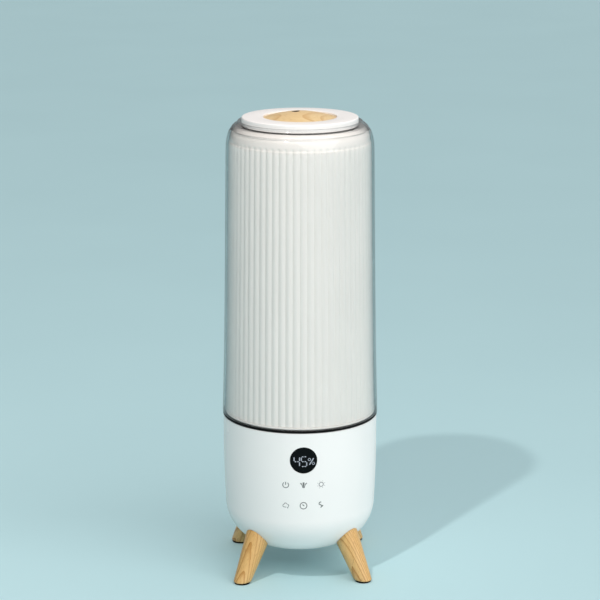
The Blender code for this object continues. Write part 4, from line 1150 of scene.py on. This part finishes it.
makeTray()
inlet = rounded([(0.0, -0.0020), (0.0007, -0.0020, 0.0003), (0.0010, -0.0026), (0.0010, -0.0095),
                 (0.0032, -0.0095), (0.0032, -0.0006), (0.0037, 0.0), (0.0052, 0.0, 0.0004),
                 (0.0052, -0.0140), (0.0, -0.0140)], 4)
turnedPiece("inletJack", inlet, 64, blackNylon, "base", "dark_plastic", "power_inlet",
            place=alongY(0.0, wallRadius(casing["inletZ"]) - 0.0004, casing["inletZ"]))
print("rear pieces made")


# Water deck, with its basin, air chimney, float post and screw bosses

deck = {"radius": 0.0864, "shelf": 0.1712, "basinR": 0.058, "basinZ": 0.156, "wellZ": 0.1522,
        "chimneyX": 0.0262, "chimneyR": 0.0085, "chimneyBore": 0.0068, "chimneyTop": 0.205,
        "valveX": -0.050, "floatY": 0.0485, "postR": 0.0028, "stopZ": 0.1768, "transducerY": 0.0235,
        "steps": 160}


def makeDeck():
    shelf, basinZ, basinR = deck["shelf"], deck["basinZ"], deck["basinR"]
    outline = rounded([
        (0.0100, 0.1500), (0.0100, deck["wellZ"], 0.0004), (0.0135, deck["wellZ"], 0.0010),
        (0.0160, basinZ, 0.0012), (basinR, basinZ, 0.0030), (basinR + 0.002, shelf, 0.0012),
        (deck["radius"] - 0.0024, shelf, 0.0018), (deck["radius"] - 0.0024, wall["top"], 0.0008),
        (deck["radius"], wall["top"], 0.0008), (deck["radius"], shelf - 0.0024, 0.0020),
        (basinR + 0.004, shelf - 0.0024, 0.0012), (basinR + 0.002, basinZ - 0.0024, 0.0030),
        (0.0175, basinZ - 0.0024, 0.0008), (0.0155, 0.1500)])
    obj = makeObject("waterDeck", turnedShape(outline, deck["steps"]))
    chimney = rounded([(0.0, 0.1430), (deck["chimneyR"], 0.1430),
                       (deck["chimneyR"], deck["chimneyTop"], 0.0006), (0.0, deck["chimneyTop"])], 3)
    post, stop = deck["postR"], deck["stopZ"]
    barb = [(0.0, 0.1550), (post, 0.1550), (post, stop), (post + 0.0012, stop + 0.0002),
            (post, stop + 0.0017), (0.0, stop + 0.0017)]
    posts = [turnedShape(chimney, 64, at(deck["chimneyX"], 0.0)),
             rodShape(0.0025, 0.1550, 0.1742, 32, at(deck["valveX"], 0.0)),
             turnedShape(barb, 48, at(0.0, deck["floatY"]))]
    holes = [rodShape(deck["chimneyBore"], 0.140, deck["chimneyTop"] + 0.002, 64, at(deck["chimneyX"], 0.0))]
    for y in (-deck["transducerY"], deck["transducerY"]):
        posts.append(rodShape(0.0034, 0.1465, 0.1545, 32, at(0.0, y)))
        holes.append(rodShape(0.0013, 0.145, 0.1520, 24, at(0.0, y)))
    for place in deckPlaces:
        posts.append(rodShape(0.0040, 0.1700, casing["deckBossZ"], 40, place))
        holes.append(rodShape(0.0017, 0.160, 0.190, 24, place))
    combine(obj, [("UNION", gathered(posts)), ("DIFFERENCE", gathered(holes))])
    dress(shadeSmooth(obj), milkPolypropylene)
    return settle(obj, "base", "milk_white", "water_deck")


makeDeck()
floatLow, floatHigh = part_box("water_float")
floatR, floatMiddle = (floatHigh.x - floatLow.x) / 2, (floatLow.z + floatHigh.z) / 2
floatOutline = rounded([
    (0.0032, floatLow.z), (floatR, floatLow.z, 0.0014), (floatR, floatMiddle - 0.0004),
    (floatR - 0.0003, floatMiddle), (floatR, floatMiddle + 0.0004), (floatR, floatHigh.z, 0.0014),
    (0.0032, floatHigh.z)])
turnedPiece("floatRing", floatOutline, 72, milkPolypropylene, "float", "milk_white", "water_float",
            place=at(0.0, deck["floatY"]))
sealLow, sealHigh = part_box("rim_seal")
sealR = sealHigh.x
sealOutline = rounded([
    (0.0843, sealLow.z + 0.0001), (sealR - 0.0004, sealLow.z + 0.0001, 0.0004),
    (sealR, sealLow.z + 0.0007, 0.0003), (sealR - 0.0001, sealLow.z + 0.0012, 0.0002),
    (sealR - 0.0016, sealLow.z + 0.0014, 0.0002), (sealR - 0.0016, sealLow.z + 0.0018, 0.0002),
    (sealR - 0.0001, sealLow.z + 0.0020, 0.0002), (sealR + 0.0003, sealHigh.z - 0.0006, 0.0003),
    (sealR, sealHigh.z, 0.0003), (0.0843, sealHigh.z)], 3)
turnedPiece("jointSeal", sealOutline, 192, blackRubber, "base", "soft_rubber", "rim_seal")
print("deck, float and seal made")


# Tank: clear shell and lip, fluted sleeve, floor, mist hood and tube

tank = {
    "outside": ((0.0902, 0.1885), (0.0884, 0.252), (0.0869, 0.330), (0.0854, 0.436), (0.0845, 0.496),
                (0.0834, 0.508), (0.0813, 0.516), (0.0792, 0.5193)),
    "inside": ((0.0878, 0.1885), (0.0860, 0.252), (0.0845, 0.330), (0.0830, 0.436), (0.0821, 0.496),
               (0.0808, 0.507), (0.0791, 0.5145), (0.0772, 0.5178))}
shellOutline = smoothLine(tank["outside"], 8) + smoothLine(tank["inside"], 8)[::-1]
turnedPiece("tankShell", shellOutline, 192, clearTank, "tank", "clear_styrene", "tank_wall", sharp=40)
lipOutline = rounded([
    (0.0790, 0.5197), (0.0770, 0.5227, 0.0020), (0.0742, 0.5250, 0.0012), (0.0730, 0.5247, 0.0005),
    (0.0722, 0.5262, 0.0006), (0.0708, 0.5282, 0.0006), (0.0672, 0.5282, 0.0004), (0.0672, 0.5235, 0.0003),
    (0.0635, 0.5235, 0.0004), (0.0635, 0.5080, 0.0005), (0.0657, 0.5080, 0.0005), (0.0657, 0.5228, 0.0004),
    (0.0716, 0.5228, 0.0008), (0.0737, 0.5222, 0.0008), (0.0757, 0.5206, 0.0010), (0.0770, 0.5182)], 4)
# the lip's darker edge tint is painted shade
turnedPiece("tankLip", lipOutline, 192, shadedClearLip, "tank", "clear_styrene", "tank_rim", sharp=40)

sleeve = {
    "flutes": 64, "depth": 0.0016, "wall": 0.0030,
    "low": 0.1908, "lowR": 0.0862, "top": 0.500, "topR": 0.0813,
    "shoulder": ((0.0802, 0.5055), (0.0786, 0.5130), (0.0767, 0.5172), (0.0750, 0.5200), (0.0734, 0.5216),
                 (0.0716, 0.5225), (0.0662, 0.5225)),
    "under": ((0.0662, 0.5209), (0.0712, 0.5209), (0.0728, 0.5201), (0.0743, 0.5185), (0.0757, 0.5160),
              (0.0772, 0.5120), (0.0785, 0.5050))}


def makeSleeve():
    # rows of points lie close together where the flutes fade out
    outer = [(sleeve["lowR"], sleeve["low"])]
    for i in range(1, 8):
        share = i / 8
        outer.append((sleeve["lowR"] + (sleeve["topR"] - sleeve["lowR"]) * share,
                      sleeve["low"] + (sleeve["top"] - sleeve["low"]) * share))
    guide = [outer[-1], (sleeve["topR"], sleeve["top"])] + list(sleeve["shoulder"][:-1])
    shoulder = smoothLine(guide, 6)[6:]
    inside = [(sleeve["topR"] - sleeve["wall"], sleeve["top"]),
              (sleeve["lowR"] - sleeve["wall"], sleeve["low"])]
    outline = outer + shoulder + [sleeve["shoulder"][-1]] + list(sleeve["under"]) + inside
    obj = makeObject("flutedSleeve", turnedShape(outline, 12 * sleeve["flutes"]))
    runTree(obj, sleeveTree, {
        "Flutes": sleeve["flutes"], "Depth": sleeve["depth"], "Inner radius": sleeve["topR"] - 0.0015,
        "Fade from": sleeve["top"] + 0.002, "Fade to": sleeve["top"] + 0.012, "Finish": sleeveResin})
    shadeSmooth(obj, 40)
    return settle(obj, "tank", "milk_white", "ribbed_sleeve")


makeSleeve()
hoodLow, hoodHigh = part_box("mist_hood")
tankFloorLow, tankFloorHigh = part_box("tank_floor")
floorLine = rounded([(0.0388, tankFloorLow.z), (tankFloorHigh.x, tankFloorLow.z, 0.0005),
                     (tankFloorHigh.x, tankFloorHigh.z, 0.0005), (0.0388, tankFloorHigh.z)], 3)
floorPlate = makeObject("tankBase", turnedShape(floorLine, 160))
combine(floorPlate, [("DIFFERENCE", rodShape(0.0045, 0.180, 0.200, 48, at(deck["valveX"], 0.0)))])
settle(dress(shadeSmooth(floorPlate), milkPolypropylene), "tank", "milk_white", "tank_floor")
skirtLow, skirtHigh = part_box("tank_skirt")
turnedPiece("tankSkirt", rounded([
    (skirtHigh.x - 0.0020, skirtLow.z, 0.0005), (skirtHigh.x, skirtLow.z, 0.0008),
    (skirtHigh.x, skirtHigh.z), (skirtHigh.x - 0.0020, skirtHigh.z)], 4), 160, milkPolypropylene, "tank",
    "milk_white", "tank_skirt")
hood = {"radius": 0.0385, "wall": 0.0023, "top": hoodHigh.z, "low": hoodLow.z, "bore": 0.0115,
        "flange": 0.0398, "bead": 0.0396}
turnedPiece("hoodDome", rounded([
    (hood["bore"], hood["top"] - hood["wall"]), (hood["bore"], hood["top"], 0.0004),
    (hood["radius"], hood["top"], 0.0040), (hood["radius"], 0.1925), (hood["flange"], 0.1922, 0.0003),
    (hood["flange"], 0.1908, 0.0003), (hood["radius"], 0.1908), (hood["radius"], 0.1882),
    (hood["bead"], 0.1882, 0.0003), (hood["bead"], 0.1874, 0.0003), (hood["radius"], 0.1862),
    (hood["radius"], hood["low"], 0.0008), (hood["radius"] - hood["wall"], hood["low"], 0.0008),
    (hood["radius"] - hood["wall"], hood["top"] - hood["wall"], 0.0030)]), 128, milkPolypropylene, "tank",
    "milk_white", "mist_hood")
tubeLow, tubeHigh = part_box("mist_tube")
turnedPiece("mistPipe", rounded([
    (hood["bore"], tubeLow.z), (0.0163, tubeLow.z, 0.0004), (0.0163, tubeLow.z + 0.0020, 0.0004),
    (0.0135, tubeLow.z + 0.0034, 0.0010), (0.0135, tubeHigh.z, 0.0006),
    (hood["bore"], tubeHigh.z, 0.0006)], 4), 96, milkPolypropylene, "tank", "milk_white", "mist_tube")
turnedPiece("pipeSeal", rounded([(0.0138, 0.5080), (0.0157, 0.5080, 0.0006), (0.0152, 0.5100, 0.0004),
                                 (0.0157, 0.5120, 0.0006), (0.0138, 0.5120)], 3),
            96, whiteSilicone, "tank", "white_silicone", "tube_seal")

# the valve: a stem pushed up by the deck's post, its seal above the floor and its spring below
valve = {"x": deck["valveX"], "flangeZ": 0.1745, "flangeR": 0.0062, "stemR": 0.0028, "seat": 0.1948,
         "springR": 0.0052, "wire": 0.0005, "turns": 5.0, "springLow": 0.1765, "springHigh": 0.1877}
headZ = valve["seat"] + 0.0025 + gap
turnedPiece("valveStem", rounded([
    (0.0, valve["flangeZ"]), (valve["flangeR"], valve["flangeZ"], 0.0004),
    (valve["flangeR"], valve["flangeZ"] + 0.0012, 0.0003),
    (valve["stemR"], valve["flangeZ"] + 0.0012, 0.0004), (valve["stemR"], headZ), (0.0090, headZ),
    (0.0090, headZ + 0.0012, 0.0004), (0.0060, headZ + 0.0022, 0.0006), (0.0, headZ + 0.0022)], 4), 64,
    milkPolypropylene, "valve", "milk_white", "valve_stem", place=at(valve["x"], 0.0))
turnedPiece("valveDisc", rounded([
    (valve["stemR"] + gap, valve["seat"] + 0.0004), (0.0050, valve["seat"] + 0.0004),
    (0.0092, valve["seat"], 0.0003), (0.0098, valve["seat"] + 0.0006, 0.0003),
    (0.0092, valve["seat"] + 0.0025, 0.0005), (valve["stemR"] + gap, valve["seat"] + 0.0025)], 4), 64,
    whiteSilicone, "valve", "white_silicone", "valve_seal", place=at(valve["x"], 0.0))
spring = pointsObject("valveCoil", [])
runTree(spring, springTree, {"Turns": valve["turns"], "Radius": valve["springR"], "Wire": valve["wire"],
                             "Height": valve["springHigh"] - valve["springLow"], "Finish": groundSteel})
spring.data.transform(at(valve["x"], 0.0, valve["springLow"]))
settle(shadeSmooth(spring, 60), "tank", "zinc_steel", "valve_spring")
print("tank made")


# Lid and its turning wooden cap

lid = {"radius": 0.0664, "top": 0.533, "recess": 0.530, "capR": 0.0415, "capTop": cadHigh[2],
       "edgeZ": 0.5312, "crown": 1.6, "insertR": 0.0300, "holeX": -0.0045, "holeR": 0.0035,
       "holeEdge": 0.0006}
turnedPiece("lidCover", rounded([
    (0.0140, lid["recess"]), (lid["capR"] + 0.0005, lid["recess"], 0.0004),
    (lid["capR"] + 0.0005, lid["top"], 0.0005), (lid["radius"], lid["top"], 0.0016),
    (lid["radius"], 0.5238, 0.0003), (0.0610, 0.5238, 0.0003), (0.0610, 0.5147, 0.0003),
    (0.0625, 0.5147, 0.0003), (0.0625, 0.5120, 0.0004), (0.0588, 0.5120, 0.0004),
    (0.0588, lid["top"] - 0.0025, 0.0010), (0.0440, lid["top"] - 0.0025, 0.0006),
    (0.0440, lid["recess"] - 0.0025, 0.0006), (0.0140, lid["recess"] - 0.0025)], 5),
    192, glossAbs, "lid", "gloss_white", "lid")
collarLow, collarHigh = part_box("lid_collar")
turnedPiece("lidCollar", rounded([
    (0.0160, collarLow.z, 0.0005), (0.0182, collarLow.z, 0.0005), (0.0182, collarHigh.z),
    (0.0160, collarHigh.z)], 4), 96, glossAbs, "lid", "gloss_white", "lid_collar")
turnedPiece("lidRing", rounded([
    (0.0613, 0.5152), (0.0632, 0.5152, 0.0005), (0.0627, 0.5163, 0.0003), (0.0632, 0.5173, 0.0004),
    (0.0627, 0.5184, 0.0003), (0.0632, 0.5195, 0.0005), (0.0613, 0.5195)], 3), 160, whiteSilicone, "lid",
    "white_silicone", "lid_seal")


def makeCap():
    low = lid["recess"] + gap
    rise = lid["capTop"] - lid["edgeZ"]
    pocket = lid["insertR"] + gap
    dome = [(lid["capR"] * t / 32, lid["capTop"] - rise * (t / 32) ** lid["crown"]) for t in range(32)]
    side = rounded([dome[-1], (lid["capR"], lid["edgeZ"], 0.0007), (lid["capR"], low, 0.0002), (pocket, low),
                    (pocket, low + 0.0022), (0.0, low + 0.0022)], 4)
    obj = makeObject("woodCap", turnedShape(dome + side[1:], 160))
    holeTop = lid["capTop"] - rise * (abs(lid["holeX"]) / lid["capR"]) ** lid["crown"]
    hole = [(0.0, 0.525), (lid["holeR"], 0.525), (lid["holeR"], holeTop - lid["holeEdge"]),
            (lid["holeR"] + lid["holeEdge"], holeTop + 0.00002),
            (lid["holeR"] + lid["holeEdge"] + 0.001, 0.545), (0.0, 0.545)]
    combine(obj, [("DIFFERENCE", turnedShape(hole, 64, at(lid["holeX"], 0.0)))])
    layGrain(obj, Matrix.Rotation(pi / 2, 4, "Y") @ aboutZ(0.06) @ at(0.0, 0.0, -lid["edgeZ"]))
    dress(shadeSmooth(obj), capBeech)
    # the faces of the bore take the second finish, painted shade inside the mist hole
    obj.data.materials.append(shadedBoreBeech)
    for face in obj.data.polygons:
        reach = (face.center - Vector((lid["holeX"], 0.0, face.center.z))).length
        if reach < lid["holeR"] + 0.0008 and face.center.z > low + 0.0025:
            face.material_index = 1
    return settle(obj, "nozzle", "beech", "nozzle_cap")


makeCap()
insertLow = lid["recess"] + gap
barbZ = insertLow - 0.0031
turnedPiece("capInsert", rounded([
    (0.0110, insertLow + 0.0019), (lid["insertR"], insertLow + 0.0019, 0.0003),
    (lid["insertR"], insertLow, 0.0003), (0.0136, insertLow, 0.0003), (0.0136, barbZ),
    (0.0150, barbZ - 0.0004, 0.0002), (0.0150, barbZ - 0.0017, 0.0003), (0.0136, barbZ - 0.0037),
    (0.0136, 0.5200, 0.0004), (0.0110, 0.5200, 0.0004)], 3), 96, milkPolypropylene, "nozzle", "milk_white",
    "nozzle_insert")
print("lid and cap made")


# Fan wheel with curved blades, and the finishes of the pieces that keep the CAD's shape

wheelLow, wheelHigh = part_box("fan_impeller")
fan = {"blades": 11, "hubR": 0.0060, "bore": 0.0013, "plateR": wheelHigh.x, "plate": 0.0015,
       "bladeFrom": 0.0052, "bladeTo": wheelHigh.x - 0.0008, "bladeThick": 0.0008, "sweep": radians(38)}


def bladeShape():
    # an upright blade, swept back along an arc
    bm = bmesh.new()
    rows = []
    half, top = fan["bladeThick"] / 2, wheelHigh.z - 0.0010
    for i in range(13):
        share = i / 12
        r = fan["bladeFrom"] + (fan["bladeTo"] - fan["bladeFrom"]) * share
        a = -fan["sweep"] * share ** 1.4
        rows.append([bm.verts.new((r * cos(a) + side * sin(a - 0.5), r * sin(a) - side * cos(a - 0.5), z))
                     for side, z in ((-half, wheelLow.z), (half, wheelLow.z), (half, top), (-half, top))])
    for row, following in zip(rows, rows[1:]):
        for i in range(4):
            j = (i + 1) % 4
            bm.faces.new((row[i], row[j], following[j], following[i]))
    bm.faces.new(rows[0][::-1])
    bm.faces.new(rows[-1])
    return outward(bm)


def makeWheel():
    plateZ = wheelHigh.z - fan["plate"]
    hub = rounded([(fan["bore"], wheelLow.z), (fan["hubR"], wheelLow.z, 0.0006),
                   (fan["hubR"], plateZ, 0.0012), (fan["plateR"], plateZ, 0.0004),
                   (fan["plateR"], wheelHigh.z, 0.0004), (fan["bore"], wheelHigh.z)])
    obj = makeObject("fanWheel", turnedShape(hub, 96))
    blade = shadeSmooth(makeObject("blade", bladeShape()), 40)
    shadeSmooth(obj)
    runTree(obj, rotorTree, {"Blade": blade, "Count": fan["blades"], "Finish": milkPolypropylene})
    bpy.data.objects.remove(blade, do_unlink=True)
    return settle(obj, "fan", "milk_white", "fan_impeller")


makeWheel()
keptFinishes = {
    "fan_shaft": groundSteel, "fan_housing": blackNylon, "fan_motor": blackNylon, "tray_housing": blackNylon,
    "air_duct": milkPolypropylene, "transducer_seal": whiteSilicone, "transducer_disc": nickelBrass,
    "transducer_holder": zincSteel, "control_board": boardMask, "main_board": boardMask, "oil_pad": woolFelt}
for node, finish in keptFinishes.items():
    for place in nodes[node].material_slots:
        place.material = finish
print("fan and finishes made")


# Stage, light and camera

def floorPaint():
    # a sheet of painted board: flat pale teal, a trace of roller texture
    board = {"Roughness": 0.75, "Specular IOR Level": 0.3}
    material, tree, surface, place = startMaterial("paintedBoard", board)
    colour = twoTones(tree, noise(tree, place, 420), studio["floor"], studio["floorShade"])
    tree.links.new(colour, surface.inputs["Base Color"])
    raiseSurface(tree, surface, noise(tree, place, 1.5), 0.05)
    return material


studio = {
    "floor": "#BADDE3", "floorShade": "#B8DBE1", "half": 20.0,
    "keyPlace": (-0.565, -0.951, 1.80), "keyRadius": 0.03, "keyPower": 56, "keyColour": "#FFF6F2",
    "fillAzimuth": 31, "fillElevation": 36, "fillAngle": 66, "fillPower": 1.6, "fillColour": "#FFF9F7",
    "world": 0.205, "worldTilt": (0.42, 0.16, 0.42), "worldColour": "#F8FAFA"}


def aim(obj, azimuth, elevation, distance, target=(0.0, 0.0, 0.27)):
    # azimuth 0 is straight in front, positive to the right
    a, e = radians(azimuth), radians(elevation)
    away = Vector((sin(a) * cos(e), -cos(a) * cos(e), sin(e)))
    obj.location = Vector(target) + away * distance
    obj.rotation_euler = away.to_track_quat("Z", "Y").to_euler()


def addLamp(name, kind, azimuth, elevation, distance, power, colour, **settings):
    lamp = bpy.data.lights.new(name, kind)
    lamp.energy = power
    lamp.color = linearColour(colour)[:3]
    for key, value in settings.items():
        setattr(lamp, key, value)
    obj = linked(name, lamp)
    aim(obj, azimuth, elevation, distance)
    return obj


def makeStudio():
    half = studio["half"]
    mesh = bpy.data.meshes.new("floorBoard")
    corners = [(-half, -half, 0), (half, -half, 0), (half, half, 0), (-half, half, 0)]
    mesh.from_pydata(corners, [], [(0, 1, 2, 3)])
    board = dress(linked("floorBoard", mesh), floorPaint())
    key = addLamp("keyLamp", "POINT", 0, 0, 0, studio["keyPower"], studio["keyColour"],
                  shadow_soft_size=studio["keyRadius"])
    key.location = studio["keyPlace"]
    addLamp("fillLamp", "SUN", studio["fillAzimuth"], studio["fillElevation"], 3.0, studio["fillPower"],
            studio["fillColour"], angle=radians(studio["fillAngle"]))
    world = bpy.data.worlds.new("studioRoom")
    bpy.context.scene.world = world
    world.use_nodes = True
    tree = world.node_tree
    tree.nodes.clear()
    # brighter from above, from the right and from behind
    direction = addNode(tree, "ShaderNodeTexCoord").outputs["Generated"]
    lean = addNode(tree, "ShaderNodeVectorMath", {"operation": "DOT_PRODUCT"},
                   {0: direction, 1: studio["worldTilt"]}).outputs["Value"]
    amount = addNode(tree, "ShaderNodeMath", {"operation": "ADD", "use_clamp": True},
                     {0: lean, 1: studio["world"]}).outputs[0]
    light = addNode(tree, "ShaderNodeBackground",
                    inputs={"Color": linearColour(studio["worldColour"]), "Strength": amount})
    addNode(tree, "ShaderNodeOutputWorld", inputs={"Surface": light.outputs[0]})


def makeCamera():
    view = {"lens": 129, "sensor": 36, "down": 13.7, "side": 2.6, "distance": 2.4125, "height": 0.907}
    lensData = bpy.data.cameras.new("studioCamera")
    lensData.lens = view["lens"]
    lensData.sensor_width = view["sensor"]
    lensData.clip_end = 100
    obj = linked("studioCamera", lensData)
    side = radians(view["side"])
    obj.location = (-view["distance"] * sin(side), -view["distance"] * cos(side), view["height"])
    obj.rotation_euler = (radians(90 - view["down"]), 0.0, -side)
    bpy.context.scene.camera = obj
    bpy.context.scene.view_settings.view_transform = "Standard"


makeStudio()
makeCamera()
print("studio made")
